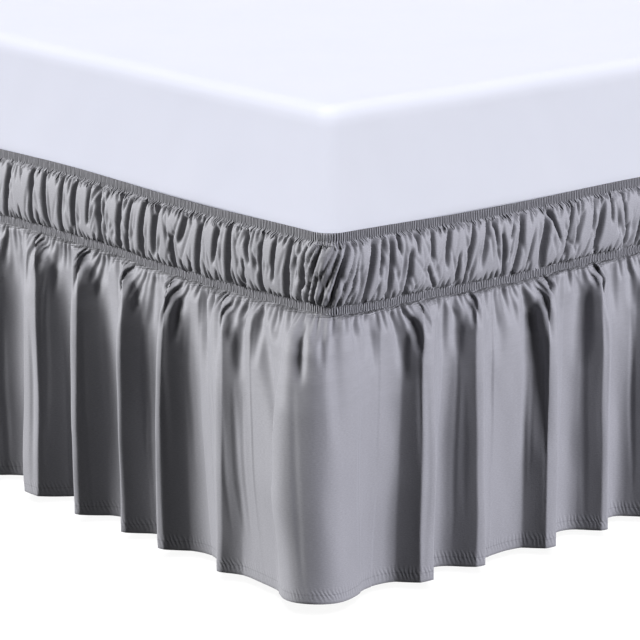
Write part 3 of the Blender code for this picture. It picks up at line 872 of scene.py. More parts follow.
    def _sections(self, down: float) -> Pair:
        """Works out the sections of all the folds at one height.

        Args:
            down: Distance below the lower elastic.

        Returns:
            Place along the path and distance outwards of the points on every fold.
        """
        plan, share, moved = self.plan, self._share(down), down / FREE_DROP
        u, out = self._plain(down, share)
        w = np.linspace(0.0, 1.0, u.shape[1])
        knots, outs = np.array(plan.corner_section).T
        drawn = np.interp(w, knots, outs)
        soft = np.convolve(np.pad(drawn, 4, mode="edge"), np.ones(9) / 9, mode="valid")
        first, last = plan.between("first", moved), plan.between("last", moved)
        for k, fold in enumerate(plan.folds):
            if fold["corner"]:
                u[k] = first[k] + (last[k] - first[k]) * w
                out[k] = soft[::-1] if fold.get("mirrored") else soft
        waver = 1 + 0.04 * np.sin(self.phase[:, None] + 9 * down)
        return u, share * out * waver

    def _fold_row(self, down: float) -> Pair:
        """Works out one row of the free cloth, its columns evenly spaced along the cloth of each fold.

        Args:
            down: Distance of the row below the lower elastic.

        Returns:
            Place along the path and distance outwards of every column.
        """
        u, depth = self._sections(down)
        x, y = self.path.place(u, HELD_OUT + depth)
        run = np.hypot(np.diff(x, axis=1), np.diff(y, axis=1))
        length = np.concatenate([np.zeros((len(u), 1)), np.cumsum(run, axis=1)], axis=1)
        length /= length[:, -1:]
        at, out = np.empty_like(self.along), np.empty_like(self.along)
        for k in range(len(u)):
            mine = self.owner == k
            at[mine] = np.interp(self.fraction[mine], length[k], u[k])
            out[mine] = np.interp(self.fraction[mine], length[k], depth[k])
        return at, out

    def press(self, along: float, top: float, foot: float, **shape: float) -> None:
        """Presses one crease into the cloth.

        Args:
            along: Place of the crease on the path, at the height shape["at"] or at its top.
            top: Height of its upper end.
            foot: Height of its lower end.
            **shape: depth and half width in metres, lean along the path per metre of height, bow as how far
                its middle bends along the path, grow as the share of half width gained by the foot, peak as
                the share of its height where it is deepest, power as how suddenly it deepens, crisp as the
                steepness of its walls, and slide as the share of its depth by which its lips close over it.
        """
        rows = np.where((self.z <= top) & (self.z >= foot))[0]
        if not len(rows):
            return
        height = (top - self.z[rows]) / (top - foot)
        peak = shape.get("peak", 0.5)
        rise = np.clip(height / peak, 0, 1) if peak > 0 else np.ones_like(height)
        fall = np.clip((1 - height) / (1 - peak), 0, 1) if peak < 1 else np.ones_like(height)
        full = np.sin(math.pi / 2 * np.minimum(rise, fall)) ** shape.get("power", 1.0)
        half = max(shape["half"], 1.1 * self._step_at(along))
        half = half * (1 + shape.get("grow", 0.0) * height) * (0.55 + 0.45 * full)
        middle = along + shape.get("lean", 0.0) * (self.z[rows] - shape.get("at", top))
        middle = middle + shape.get("bow", 0.0) * np.sin(math.pi * height)
        reach = 3 * half.max() + np.ptp(middle) / 2
        centre = (middle.max() + middle.min()) / 2
        lo, hi = np.searchsorted(self.along, (centre - reach, centre + reach))
        if hi <= lo:
            return
        x = (self.along[None, lo:hi] - middle[:, None]) / half[:, None]
        depth = shape["depth"] * full[:, None]
        window = np.ix_(rows, np.arange(lo, hi))
        self.inward[window] += depth * np.exp(-np.abs(x) ** shape.get("crisp", 2.3))
        self.slide[window] -= shape.get("slide", 0.0) * depth * x * np.exp(-(x**2))

    def _lean_at(self, along: float) -> float:
        """Draws the lean of a heading gather: upright on the left side, top to the right on the foot end.

        Args:
            along: Its place on the path.

        Returns:
            Its lean along the path per metre of height.
        """
        if along < self.path.left_corner - 0.25:
            return self.chance.uniform(-0.06, 0.05)
        if along < self.path.left_corner - 0.02:
            return self.chance.uniform(0.0, 0.14)
        return self.chance.uniform(0.14, 0.30)

    def gather(self) -> None:
        """Presses in the heading's gathers, the flutes at both elastics and the long creases of the folds."""
        chance, made = self.chance, self.creases
        side_line, foot_line = self.path.side_line, self.path.foot_line
        for way, start, shift, rows in (
            (-1, side_line, made.left_shift, made.left_heading),
            (1, foot_line, made.foot_shift, made.foot_heading),
        ):
            for place, top, foot, depth, half, lean in rows:
                at = start + way * (place - shift)
                self._heading_gather(at, top, foot, depth / 1000, half / 1000, lean)
        for way, start, rows in ((-1, side_line, made.left_free), (1, foot_line, made.foot_free)):
            for upper, lower, foot, depth, half in rows:
                ends = start + way * upper, start + way * lower
                self._hollow(*ends, made.free_top, foot, depth / 1000, half / 1000)
        near = (side_line - self.near_left + 0.04, foot_line + self.near_foot - 0.01)
        for fold in self.plan.folds:
            self._fold_creases(fold)
            start, width = fold["first"]["top"], fold["last"]["top"] - fold["first"]["top"]
            pieces = max(2, round(width / self.gather_pitch))
            for i in range(pieces):
                place = start + width * (i + chance.uniform(-0.12, 0.12)) / pieces
                if near[0] < place < near[1]:
                    continue
                ends = chance.choice(((0.0, 1.0), (0.0, 1.0), (0.0, 1.0), (0.0, 0.6), (0.4, 1.0)))
                depth, half = chance.uniform(0.009, 0.013), chance.uniform(0.0034, 0.0050)
                self._heading_gather(place, *ends, depth, half, self._lean_at(place))
                if chance.random() < 0.6:
                    drop = chance.uniform(0.03, 0.10)
                    self._hollow(place, place, FREE_TOP_Z, FREE_TOP_Z - drop, 0.006, 0.004)
        self._flutes()

    def _flutes(self) -> None:
        """Presses the small flutes that both elastics draw into the cloth, above and below."""
        chance = self.chance
        high, low = HEADING_TOP_Z, LOWER_ELASTIC_TOP_Z
        for kind in ("under the top edge", "over the lower elastic", "under the lower elastic"):
            place = 0.004
            while place < self.path.total - 0.004:
                lean = self._lean_at(place) + chance.uniform(-0.30, 0.30)
                size = chance.uniform(0.40, 1.0)
                run = HEADING_TALL * chance.choice((0.10, 0.14, 0.18, 0.24, 0.34))
                if kind == "under the top edge":
                    ends = high + 0.001, high - run
                    shape = {"depth": 0.0062 * size, "half": 0.0018, "peak": 0.2, "lean": lean}
                elif kind == "over the lower elastic":
                    ends = low + run, low - 0.001
                    shape = {"depth": 0.0066 * size, "half": 0.0018, "peak": 0.8, "lean": lean, "at": low}
                else:
                    drop = chance.choice((0.012, 0.018, 0.026, 0.036, 0.052, 0.070))
                    ends = FREE_TOP_Z + 0.001, FREE_TOP_Z - drop
                    shape = {"depth": 0.0066 * size, "half": 0.0019 + 0.02 * drop, "peak": 0.22}
                    shape |= {"grow": 0.7, "slide": 0.15}
                self.press(place, *ends, **shape)
                place += chance.uniform(0.0050, 0.0095)

    def _heading_gather(
        self, place: float, top: float, foot: float, depth: float, half: float, lean: float
    ) -> None:
        """Presses one of the deep gathers between the elastics, with three small creases near it.

        Args:
            place: Its place on the path at mid height.
            top: Its upper end as a share of the heading from the top.
            foot: Its lower end as the same.
            depth: Its depth.
            half: Its half width.
            lean: Its lean.
        """
        chance = self.chance
        high, low, tall = HEADING_TOP_Z, LOWER_ELASTIC_TOP_Z, HEADING_TALL
        peak = 0.35 if foot < 0.95 else (0.65 if top > 0.05 else chance.uniform(0.42, 0.58))
        self.press(
            place,
            high - top * tall + 0.002,
            high - foot * tall - 0.002,
            depth=depth,
            half=half,
            lean=lean,
            at=HEADING_MIDDLE_Z,
            bow=chance.uniform(-0.002, 0.002),
            peak=peak,
            power=0.75 if foot - top < 0.9 else 0.4,
            slide=0.45,
            crisp=4.6,
        )
        for _ in range(3):
            off = chance.choice((-1, 1)) * chance.uniform(0.006, 0.014)
            self.press(
                place + off,
                high - tall * chance.uniform(0.0, 0.55),
                low + tall * chance.uniform(0.0, 0.35),
                depth=chance.uniform(0.0008, 0.0026),
                half=chance.uniform(0.0013, 0.0026),
                lean=lean + chance.uniform(-0.35, 0.35),
                at=HEADING_MIDDLE_Z,
                power=0.8,
            )

    def _hollow(self, upper: float, lower: float, top: float, foot: float, depth: float, half: float) -> None:
        """Presses one hollow that falls from the lower elastic and widens as it goes.

        Args:
            upper: Its place on the path at its upper end.
            lower: Its place on the path at its lower end.
            top: Height of its upper end.
            foot: Height of its lower end.
            depth: Its depth.
            half: Its half width.
        """
        lean = (upper - lower) / (top - foot)
        shape = {"depth": depth, "half": half, "lean": lean, "grow": 0.8, "peak": 0.20, "slide": 0.12}
        self.press(upper, top + 0.001, foot, **shape)

    def _fold_creases(self, fold: dict) -> None:
        """Presses the thin long creases of one large fold.

        Args:
            fold: The fold, with its two valleys.
        """
        chance = self.chance
        start, width = fold["first"]["top"], fold["last"]["top"] - fold["first"]["top"]
        for _ in range(4 if fold["corner"] else 5):
            top = FREE_TOP_Z - chance.uniform(0.0, 0.10)
            half = chance.uniform(0.0019, 0.0040)
            self.press(
                start + width * chance.uniform(0.12, 0.88),
                top,
                max(top - chance.uniform(0.14, 0.30), HEM_Z - 0.02),
                depth=half * chance.uniform(0.15, 0.40),
                half=half,
                lean=chance.uniform(-0.02, 0.02),
            )

    def _wobble(self, pitch: float, size: float) -> np.ndarray:
        """A smooth random line along the path.

        Args:
            pitch: Distance between its random knots.
            size: Its largest size.

        Returns:
            Its value at every column.
        """
        count = int(self.path.total / pitch) + 3
        knots = np.array([self.chance.uniform(-size, size) for _ in range(count)])
        return glide(knots, self.along / pitch)

    def _undulation(self) -> np.ndarray:
        """Soft dents all over the free cloth, taller than they are wide.

        Returns:
            How far out each point moves.
        """
        total = np.zeros((len(self.z), len(self.along)))
        for pitch, rise, size in self.dents:
            levels = int(SKIRT_TOP_Z / rise) + 2
            lines = np.stack([self._wobble(pitch, size) for _ in range(levels)])
            total += glide(lines, (SKIRT_TOP_Z - np.minimum(self.z, SKIRT_TOP_Z)) / rise)
        return total

    def shape(self) -> Pair:
        """Works out the place of every point of the cloth.

        Returns:
            The grid of points, and each point's place on the flat cloth.
        """
        self.gather()
        rows, cols = self.inward.shape
        at, out = np.tile(self.along, (rows, 1)), np.zeros((rows, cols))
        swell = 1 + self._wobble(*self.swell)
        for i, z in enumerate(self.z):
            if LOWER_ELASTIC_TOP_Z < z < HEADING_TOP_Z:
                rounding = math.sin(math.pi * (z - LOWER_ELASTIC_TOP_Z) / HEADING_TALL) ** self.puff_edge
                out[i] = self.puff * rounding * swell
            elif z < FREE_TOP_Z:
                at[i], out[i] = self._fold_row(min(FREE_TOP_Z - z, FREE_DROP))
        out += self._undulation() * np.clip((FREE_TOP_Z - self.z) / 0.05, 0, 1)[:, None]
        below = np.clip(FREE_TOP_Z - self.z, 0, None)
        start, end = self.lip_span
        lip = np.sqrt(np.clip(below / start, 0, 1)) * np.exp(-((below / end) ** 2))
        out += self.lip * lip[:, None]
        inward = np.minimum(self.inward, out + 0.0008)
        x, y = self.path.place(at, HELD_OUT + out)
        tx, ty = np.gradient(x, axis=1), np.gradient(y, axis=1)
        size = np.hypot(tx, ty)
        tx, ty = tx / size, ty / size
        # The path goes round the bed with the bed on its left, so a push inwards is a push to its left.
        push = inward + self.tuck[:, None]
        x = x - ty * push + tx * self.slide
        y = y + tx * push + ty * self.slide
        z = np.tile(self.z[:, None], (1, cols))
        free = np.clip((FREE_TOP_Z - self.z) / FREE_DROP, 0, 1)[:, None]
        lifted = np.clip(1 - (self.z - HEM_Z) / 0.06, 0, 1)[:, None]
        z = z + lifted * self.hem_lift * (out / 0.055) ** 2
        z = z - (1 - free) ** 2 * self.path.dip(self.along)[None, :]
        held = np.exp(-(((self.z - (LOWER_ELASTIC_TOP_Z + FREE_TOP_Z) / 2) / 0.022) ** 2))[:, None]
        z = z + held * sum(self._wobble(*drift) for drift in self.wander)[None, :]
        near_hem = -6
        hem_run = np.concatenate([[0], np.cumsum(np.hypot(np.diff(x[near_hem]), np.diff(y[near_hem])))])
        eased = np.clip((FREE_TOP_Z - self.z) / 0.10, 0, 1)[:, None]
        across = self.along[None, :] * (1 - eased) + hem_run[None, :] * eased
        down = SKIRT_TOP_Z - self.z[:, None] + 0 * across
        return np.stack([x, y, z], axis=-1), np.stack([across, down], axis=-1)

    def build(self, finish: Material) -> None:
        """Makes the three panels.

        Args:
            finish: The cloth's material.
        """
        points, cloth = self.shape()
        cuts = {
            Side.LEFT: (0.0, self.path.left_corner),
            Side.FOOT: (self.path.left_corner, self.path.right_corner),
            Side.RIGHT: (self.path.right_corner, self.path.total),
        }
        for side, (start, end) in cuts.items():
            lo = np.searchsorted(self.along, start - 1e-7)
            hi = np.searchsorted(self.along, end + 1e-7)
            panel = grid_sheet(side.value + "_cloth", points[:, lo:hi], cloth[:, lo:hi])
            dress(panel, side.value, finish)


def grid_sheet(name: str, points: np.ndarray, cloth: np.ndarray) -> Piece:
    """Makes a mesh from a grid of points, facing out of the bed.

    Args:
        name: The piece's name.
        points: Rows and columns of points.
        cloth: Each point's place on the flat cloth, in metres.

    Returns:
        The piece, with a UV map in metres.
    """
    rows, cols = points.shape[:2]
    index = np.arange(rows * cols).reshape(rows, cols)
    faces = np.stack([index[:-1, :-1], index[1:, :-1], index[1:, 1:], index[:-1, 1:]], axis=-1)
    corners = faces.reshape(-1)
    mesh = bpy.data.meshes.new(name)
    mesh.vertices.add(rows * cols)
    mesh.vertices.foreach_set("co", points.reshape(-1).astype(np.float32))
    mesh.loops.add(corners.size)
    mesh.loops.foreach_set("vertex_index", corners.astype(np.int32))
    mesh.polygons.add(corners.size // 4)
    mesh.polygons.foreach_set("loop_start", np.arange(0, corners.size, 4, dtype=np.int32))
    mesh.update(calc_edges=True)
    layer = mesh.uv_layers.new(name="cloth")
    layer.data.foreach_set("uv", cloth.reshape(-1, 2)[corners].reshape(-1).astype(np.float32))
    mesh.shade_smooth()
    return add_object(name, mesh)


def smooth_mesh(name: str, points: list, faces: list, sharp: float) -> Piece:
    """Makes a smooth piece from points and faces.

    Args:
        name: The piece's name.
        points: Its points.
        faces: Its faces, as numbers of points.
        sharp: The angle in degrees from which its edges stay sharp.

    Returns:
        The piece.
    """
    mesh = bpy.data.meshes.new(name)
    mesh.from_pydata(points, [], faces)
    mesh.update()
    mesh.shade_smooth()
    mesh.set_sharp_from_angle(angle=math.radians(sharp))
    return add_object(name, mesh)


@dataclass
class ElasticLoops:
    """The two elastics behind the cloth."""

    path: BedPath
    step: float = 0.012
    stretch: float = 1.15
    narrowing: float = 0.0015

    def _strap(self, name: str, along: np.ndarray, low: float, high: float, closed: bool) -> Piece:
        """Makes one strap with rounded edges.

        Args:
            name: The piece's name.
            along: Places on the path.
            low: Height of its lower edge.
            high: Height of its upper edge.
            closed: Whether it crosses the head end and joins up.

        Returns:
            The strap.
        """
        inner, outer = TOUCH_GAP, TOUCH_GAP + ELASTIC_THICKNESS
        edge = ELASTIC_THICKNESS * 0.3
        below = ((inner, low + edge), (inner + edge, low), (outer - edge, low), (outer, low + edge))
        above = ((outer, high - edge), (outer - edge, high), (inner + edge, high), (inner, high - edge))
        dip = self.path.dip(along)
        loops = []
        for out, z in below + above:
            x, y = self.path.place(along, np.full_like(along, out))
            points = np.stack([x, y, z - dip], axis=-1)
            if closed:
                points = np.concatenate([points, self._across_head(out, z, float(dip[0]), float(dip[-1]))])
            loops.append(points)
        grid = np.stack(loops, axis=1)
        count, ring = grid.shape[:2]
        faces = []
        for i in range(count if closed else count - 1):
            here, there = i * ring, (i + 1) % count * ring
            for k in range(ring):
                after = (k + 1) % ring
                faces.append((here + k, here + after, there + after, there + k))
        if not closed:
            faces += [tuple(range(ring - 1, -1, -1)), tuple(range((count - 1) * ring, count * ring))]
        return smooth_mesh(name, [tuple(p) for p in grid.reshape(-1, 3)], faces, 50)

    def _across_head(self, out: float, z: float, first: float, last: float) -> np.ndarray:
        """Points of the strap from the right head corner back to the left one.

        Args:
            out: Distance outside the base.
            z: Height.
            first: Dip where the path starts, on the left.
            last: Dip where the path ends, on the right.

        Returns:
            The points in order.
        """
        path = self.path
        x, y = path.width / 2 - path.corner, path.length / 2 - path.corner
        reach = path.corner + out
        turn = np.linspace(0, math.pi / 2, 9)
        right = np.stack([x + reach * np.cos(turn), y + reach * np.sin(turn)], axis=-1)
        mid = np.linspace(x, -x, 30)[1:-1]
        back = np.stack([mid, np.full_like(mid, y + reach)], axis=-1)
        turn = turn + math.pi / 2
        left = np.stack([-x + reach * np.cos(turn), y + reach * np.sin(turn)], axis=-1)
        flat = np.concatenate([right[1:], back, left[:-1]])
        share = np.linspace(0, 1, len(flat))
        height = z - last * (1 - share) - first * share
        return np.column_stack([flat[:, 0], flat[:, 1] + path.shift_y, height])

    def build(self, finish: Material) -> None:
        """Makes both elastics.

        Args:
            finish: The elastic's material.
        """
        path = self.path
        bends = [path.side_run + path.turn * k / 8 for k in range(9)]
        bends += [path.side_run + path.turn + path.foot_run + path.turn * k / 8 for k in range(9)]
        along = np.unique(np.concatenate([np.arange(0.0, path.total, self.step), bends, [path.total]]))
        top = self._strap("elastic_top_band", along, HEADING_TOP_Z, SKIRT_TOP_Z - 0.0006, True)
        low = self._strap("elastic_lower_band", along, FREE_TOP_Z, LOWER_ELASTIC_TOP_Z, False)
        for strap, node, height, length in (
            (top, "elastic_top", ELASTIC_HEIGHT, path.total + path.width),
            (low, "elastic_lower", LOWER_ELASTIC_HEIGHT, path.total),
        ):
            dress(strap, node, finish)


@dataclass
class Mattress:
    """The mattress in its white fitted sheet."""

    path: BedPath
    height: float = 0.145
    edge: float = 0.016
    foot_edge: float = 0.005
    step: float = 0.010
    crown: float = 0.0012
    crown_run: float = 0.09
    near: tuple = (0.0, 0.002, 0.004, 0.006, 0.009, 0.012, 0.016, 0.0205, 0.025)

    def _ticks(self, half: float) -> np.ndarray:
        """Grid lines from one side to the other, close together near both sides.

        Args:
            half: Half the distance between the sides.

        Returns:
            Their places.
        """
        last = self.near[-1]
        count = max(2, round((2 * half - 2 * last) / self.step))
        inner = np.linspace(-half + last, half - last, count + 1)[1:-1]
        near = np.array(self.near)
        return np.concatenate([-half + near, inner, half - near[::-1]])

    def _rounded(self, x: np.ndarray, y: np.ndarray, inset: float) -> Pair:
        """Draws points of a square-cornered plan in to the round corners.

        Args:
            x: Their X.
            y: Their Y.
            inset: How far the whole outline is drawn in.

        Returns:
            The new X and Y.
        """
        path = self.path
        half_x, half_y = path.width / 2 - path.corner, path.length / 2 - path.corner
        over_x = np.maximum(np.abs(x) - half_x, 0)
        over_y = np.maximum(np.abs(y) - half_y, 0)
        reach = np.hypot(over_x, over_y)
        far = np.maximum(over_x, over_y)
        shrink = np.where(reach > 0, far / np.maximum(reach, 1e-9), 1.0) * (path.corner - inset) / path.corner
        new_x = np.sign(x) * (np.minimum(np.abs(x), half_x) + over_x * shrink)
        new_y = np.sign(y) * (np.minimum(np.abs(y), half_y) + over_y * shrink)
        return new_x, new_y

    def _edge_in(self, x: np.ndarray, y: np.ndarray) -> np.ndarray:
        """Measures how far plan points lie in from the outline.

        Args:
            x: Their X.
            y: Their Y.

        Returns:
            Each one's distance.
        """
        path = self.path
        over_x = np.abs(x) - (path.width / 2 - path.corner)
        over_y = np.abs(y) - (path.length / 2 - path.corner)
        outside = np.hypot(np.maximum(over_x, 0), np.maximum(over_y, 0))
        return path.corner - outside - np.minimum(np.maximum(over_x, over_y), 0)

    def _crease(self, x: np.ndarray, y: np.ndarray, level: float) -> Pair:
        """Presses the sheet's soft upright creases into the sides.

        Args:
            x: X of one level of the sides.
            y: Y of the same points.
            level: Height of the level as a share of the mattress's height.

        Returns:
            The new X and Y.
        """
        full = math.sin(math.pi * min(max(level, 0.0), 1.0)) ** 0.8
        wave_y = 0.0010 * np.sin(y * 31 + 3 * level) * np.sin(y * 11) + 0.0004 * np.sin(y * 83 + 5 * level)
        wave_x = 0.0010 * np.sin(x * 37 + 2 * level) * np.sin(x * 13 + 1)
        wave_x = wave_x + 0.0004 * np.sin(x * 97 + 4 * level)
        side = np.abs(x) > self.path.width / 2 - 0.002
        end = np.abs(y) > self.path.length / 2 - 0.002
        x = np.where(side, x - np.sign(x) * np.abs(wave_y) * full, x)
        y = np.where(end, y - np.sign(y) * np.abs(wave_x) * full, y)
        return x, y

    def build(self, finish: Material) -> None:
        """Makes the mattress: its top as a grid, then its sides level by level, down to its flat foot.

        Args:
            finish: The sheet's material.
        """
        low = BASE_TOP_Z + TOUCH_GAP
        high = low + self.height
        half_x, half_y = self.path.width / 2, self.path.length / 2
        grid_x, grid_y = np.meshgrid(self._ticks(half_x), self._ticks(half_y), indexing="ij")
        x, y = self._rounded(grid_x, grid_y, 0.0)
        edge_in = self._edge_in(x, y)
        round_off = self.edge - np.clip(edge_in, 0, self.edge)
        z = high - self.edge + np.sqrt(self.edge**2 - round_off**2)
        z = z - self.crown * (1 - np.cos(np.clip(edge_in / self.crown_run, 0, 1) * math.pi)) / 2
        z = z + 0.0006 * np.sin(x * 21 + 2 * np.sin(y * 6)) * np.sin(y * 13 + x * 4)
        nx, ny = z.shape
        ring = [(i, 0) for i in range(nx)] + [(nx - 1, j) for j in range(1, ny)]
        ring += [(i, ny - 1) for i in range(nx - 2, -1, -1)] + [(0, j) for j in range(ny - 2, 0, -1)]
        points = [tuple(p) for p in np.stack([x, y, z], axis=-1).reshape(-1, 3)]
        faces = [
            (i * ny + j, (i + 1) * ny + j, (i + 1) * ny + j + 1, i * ny + j + 1)
            for i in range(nx - 1)
            for j in range(ny - 1)
        ]
        above = [i * ny + j for i, j in ring]
        count = len(ring)
        rim_x, rim_y = np.array([grid_x[p] for p in ring]), np.array([grid_y[p] for p in ring])
        drops = np.linspace(0, self.height - self.edge - self.foot_edge, 16)[1:]
        levels = [(0.0, high - self.edge - drop) for drop in drops]
        for angle in (0.5, 1.0, 1.57):
            turned = self.foot_edge * (1 - math.cos(angle)), low + self.foot_edge * (1 - math.sin(angle))
            levels.append(turned)
        for inset, level in levels:
            wall = self._rounded(rim_x, rim_y, inset)
            wall_x, wall_y = self._crease(*wall, (level - low) / self.height)
            if inset > 0:
                wall_x = np.clip(wall_x, inset - half_x, half_x - inset)
                wall_y = np.clip(wall_y, inset - half_y, half_y - inset)
            here = list(range(len(points), len(points) + count))
            points += [(float(a), float(b), float(level)) for a, b in zip(wall_x, wall_y)]
            for k in range(count):
                after = (k + 1) % count
                faces.append((above[k], here[k], here[after], above[after]))
            above = here
        faces.append(tuple(reversed(above)))
        placed = [(a, b + self.path.shift_y, c) for a, b, c in points]
        made = smooth_mesh("mattress_in_sheet", placed, faces, 60)
        dress(made, "mattress", finish)


def only_select(piece: Piece | None) -> None:
    """Selects one piece and makes it active, or deselects everything.

    Args:
        piece: The piece, or None.
    """
    for other in list(bpy.context.selected_objects):
        other.select_set(False)
    if piece:
        piece.select_set(True)
        bpy.context.view_layer.objects.active = piece


def finish_rigid(piece: Piece, bevel: float, segments: int) -> None:
    """Applies a piece's place and size, rounds its edges and shades it smooth.

    Args:
        piece: The piece.
        bevel: Width of the rounding.
        segments: Faces across the rounding.
    """
    only_select(piece)
    bpy.ops.object.transform_apply(location=True, rotation=True, scale=True)
    rounding = piece.modifiers.new("rounding", "BEVEL")
    rounding.width = bevel
    rounding.segments = segments
    rounding.limit_method = "ANGLE"
    rounding.angle_limit = math.radians(40)
    bpy.ops.object.modifier_apply(modifier=rounding.name)
    bpy.ops.object.shade_smooth_by_angle(angle=math.radians(35))


@dataclass
class DivanBase:
    """The plain upholstered base that the elastics grip."""

    path: BedPath
    round_edge: float = 0.004

    def build(self, finish: Material) -> None:
        """Makes the base as a block with round upright corners, then rounds its other edges.

        Args:
            finish: The ticking's material.
        """
        path = self.path
        height = BASE_TOP_Z - BASE_BOTTOM_Z
        only_select(None)
        bpy.ops.mesh.primitive_cube_add(size=1, location=(0, path.shift_y, BASE_BOTTOM_Z + height / 2))
        base = bpy.context.object
        base.name = "divan_base"
        base.scale = (path.width, path.length, height)
        only_select(base)
        bpy.ops.object.transform_apply(location=True, rotation=True, scale=True)
        bpy.ops.object.mode_set(mode="EDIT")
        bpy.ops.mesh.select_mode(type="EDGE")
        bpy.ops.mesh.select_all(action="DESELECT")
        bpy.ops.object.mode_set(mode="OBJECT")
        points = base.data.vertices
        for edge in base.data.edges:
            a, b = (points[v].co for v in edge.vertices)
            edge.select = abs(a.z - b.z) > height / 2
        bpy.ops.object.mode_set(mode="EDIT")
        bpy.ops.mesh.bevel(offset=path.corner, segments=12, affect="EDGES")
        bpy.ops.object.mode_set(mode="OBJECT")
        finish_rigid(base, self.round_edge, 4)
        dress(base, "base", finish)


@dataclass
class Legs:
    """The base's six turned legs: a foot, a swelling shank, a neck and a collar under the base.

    The profile's rows are shares of a leg's height from the floor, and of its radius.
    """

    path: BedPath
    inset: float = 0.095
    radius: float = 0.030
    profile: tuple = (
        (0.00, 0.70), (0.05, 0.76), (0.16, 0.74), (0.45, 0.90), (0.72, 0.98), (0.84, 0.90),
        (0.875, 0.80), (0.91, 0.96), (0.95, 1.00), (1.00, 1.00),
    )

    def _turn(self) -> Piece:
        """Turns the first leg from a cylinder cut into rings.

        Returns:
            The leg, standing at the origin.
        """
        height = BASE_BOTTOM_Z - TOUCH_GAP
        only_select(None)
        bpy.ops.mesh.primitive_cylinder_add(
            vertices=48, radius=self.radius, depth=height, location=(0, 0, height / 2)
        )
        leg = bpy.context.object
        only_select(leg)
        bpy.ops.object.transform_apply(location=True, rotation=True, scale=True)
        bpy.ops.object.mode_set(mode="EDIT")
        for share, _ in self.profile[1:-1]:
            bpy.ops.mesh.select_all(action="SELECT")
            bpy.ops.mesh.bisect(plane_co=(0, 0, share * height), plane_no=(0, 0, 1))
        bpy.ops.object.mode_set(mode="OBJECT")
        shares, sizes = np.array(self.profile).T
        for point in leg.data.vertices:
            size = float(np.interp(point.co.z / height, shares, sizes))
            point.co.x *= size
            point.co.y *= size
        finish_rigid(leg, 0.0012, 3)
        return leg

    def build(self, finish: Material) -> None:
        """Turns one leg and copies it to the six places.

        Args:
            finish: The wood's material.
        """
        path = self.path
        far_x, far_y = path.width / 2 - self.inset, path.length / 2 - self.inset
        ends = {"foot": -far_y, "middle": 0.0, "head": far_y}
        sides = {"left": -far_x, "right": far_x}
        places = [(f"leg_{end}_{side}", x, y) for end, y in ends.items() for side, x in sides.items()]
        made = [self._turn()]
        made += [add_object("leg", made[0].data.copy()) for _ in places[1:]]
        for leg, (node, x, y) in zip(made, places):
            leg.name = f"turned_{node}"
            leg.data.transform(Matrix.Translation((x, y + path.shift_y, 0.0)))
            dress(leg, node, finish)


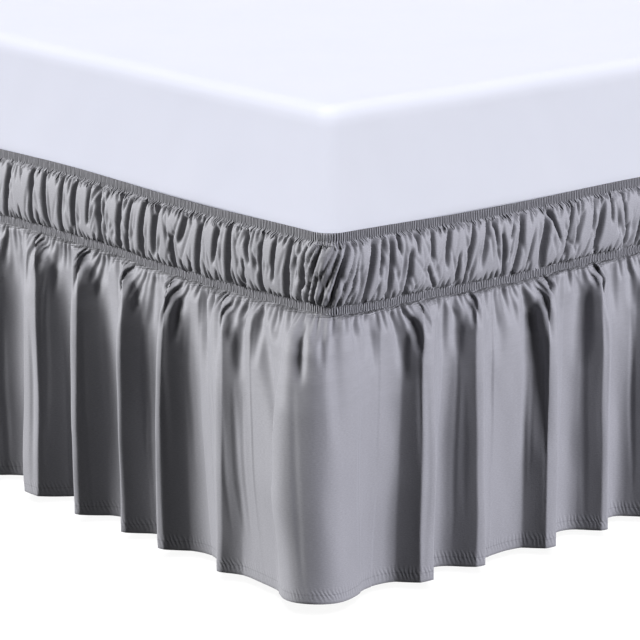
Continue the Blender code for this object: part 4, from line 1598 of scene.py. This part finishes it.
@dataclass
class Studio:
    """The floor, the lights and the camera.

    A softbox has a way from the skirt's near corner, a distance, a width and height, watts and a colour. A
    sun is wide and soft, as from a white tent; it has a way, a strength, and the group of pieces it lights.
    """

    path: BedPath
    azimuth: float = 39.72
    elevation: float = 14.45
    focal_px: float = 3358.0
    frame_px: float = 640.0
    sensor_mm: float = 36.0
    distance: float = 3.6205
    aim_right: float = -0.0078
    aim_up: float = -0.0914
    softboxes: tuple = (
        ("left_softbox", (-0.77, 0.64, 0.36), 7.0, (3.4, 3.6), 1500.0, (0.97, 0.97, 1.0)),
        ("right_softbox", (0.50, -0.866, 0.34), 5.0, (2.3, 2.7), 690.0, (0.91, 0.91, 1.0)),
    )
    suns: tuple = (
        ("white_left", (-0.91, 0.24, 0.30), 3.55, "mattress_alone"),
        ("white_right", (0.24, -0.91, 0.30), 3.38, "mattress_alone"),
        ("white_top", (0.0, 0.0, 1.0), 0.60, "mattress_alone"),
        ("white_back", (0.80, 0.60, 0.10), 2.2, "mattress_alone"),
        ("floor_wash", (0.0, 0.0, 1.0), 3.42, "floor_alone"),
        ("floor_soft", (-0.2, -0.3, 0.9), 0.25, "floor_alone"),
        ("back_fill", (0.80, 0.60, 0.35), 1.6, "skirt_and_base"),
    )

    def build(self, floor_finish: Material) -> None:
        """Sets up the floor, the lights, the background and the camera.

        Args:
            floor_finish: The floor's material.
        """
        only_select(None)
        bpy.ops.mesh.primitive_plane_add(size=40, location=(0, 0, 0))
        floor = bpy.context.object
        floor.name = "studio_floor"
        floor.data.materials.append(floor_finish)
        floor.visible_diffuse = False
        mattress = bpy.data.objects["mattress_in_sheet"]
        rest = [o for o in bpy.context.scene.objects if o.type == "MESH" and o not in (floor, mattress)]
        groups = {}
        reached = (("mattress_alone", [mattress]), ("floor_alone", [floor]), ("skirt_and_base", rest))
        for name, pieces in reached:
            groups[name] = bpy.data.collections.new(name)
            for piece in pieces:
                groups[name].objects.link(piece)
        corner = Vector((-self.path.width / 2, -self.path.length / 2 + self.path.shift_y, SKIRT_TOP_Z))
        for name, way, far, size, watts, colour in self.softboxes:
            lamp = self._lamp(name, "AREA", way, watts, groups["skirt_and_base"])
            lamp.data.shape = "RECTANGLE"
            lamp.data.size, lamp.data.size_y = size
            lamp.data.color = colour
            lamp.location = corner + Vector(way).normalized() * far
        for name, way, strength, group in self.suns:
            lamp = self._lamp(name, "SUN", way, strength, groups[group])
            lamp.data.angle = math.radians(70)
        # Only the floor stops the wash, so that the bed throws no shadow in it.
        bpy.data.objects["floor_wash"].light_linking.blocker_collection = groups["floor_alone"]
        world = bpy.data.worlds.new("pale_studio")
        world.use_nodes = True
        background = world.node_tree.nodes["Background"]
        background.inputs["Color"].default_value = (1.0, 1.0, 1.0, 1.0)
        background.inputs["Strength"].default_value = 0.004
        bpy.context.scene.world = world
        bpy.context.scene.view_settings.view_transform = "Standard"
        self._camera(corner)

    def _lamp(self, name: str, kind: str, way: tuple, energy: float, reaches: bpy.types.Collection) -> Piece:
        """Adds a lamp that shines from a direction on some of the pieces.

        Args:
            name: The lamp's name.
            kind: AREA or SUN.
            way: Direction from the bed to the lamp.
            energy: Its watts, or its strength.
            reaches: The pieces that it lights.

        Returns:
            The lamp.
        """
        lamp = add_object(name, bpy.data.lights.new(name, kind))
        lamp.data.energy = energy
        lamp.rotation_euler = (-Vector(way).normalized()).to_track_quat("-Z", "Y").to_euler()
        lamp.light_linking.receiver_collection = reaches
        return lamp

    def _camera(self, corner: Vector) -> None:
        """Adds the camera at the photograph's angle.

        Args:
            corner: The skirt's top edge at the left foot corner of the base.
        """
        a, e = math.radians(self.azimuth), math.radians(self.elevation)
        forward = Vector((math.sin(a) * math.cos(e), math.cos(a) * math.cos(e), -math.sin(e)))
        right = Vector((math.cos(a), -math.sin(a), 0.0))
        up = right.cross(forward)
        camera = add_object("camera", bpy.data.cameras.new("camera"))
        camera.data.sensor_width = self.sensor_mm
        camera.data.lens = self.sensor_mm * self.focal_px / self.frame_px
        camera.data.clip_end = 100.0
        camera.location = corner - forward * self.distance + right * self.aim_right + up * self.aim_up
        camera.rotation_euler = forward.to_track_quat("-Z", "Y").to_euler()
        bpy.context.scene.camera = camera


def main() -> None:
    """Builds every piece and the studio."""
    logging.basicConfig(level=logging.INFO, format="%(message)s")
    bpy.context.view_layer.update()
    path = BedPath()
    plan = FoldPlan(path)
    plan.lay_out()
    SkirtCloth(path, plan, Creases()).build(BrushedMicrofibre().make())
    ElasticLoops(path).build(WovenElastic().make())
    Mattress(path).build(CottonPercale().make())
    DivanBase(path).build(CottonTicking().make())
    Legs(path).build(StainedBeech().make())
    Studio(path).build(StudioFloor().make())


if __name__ == "__main__":
    main()
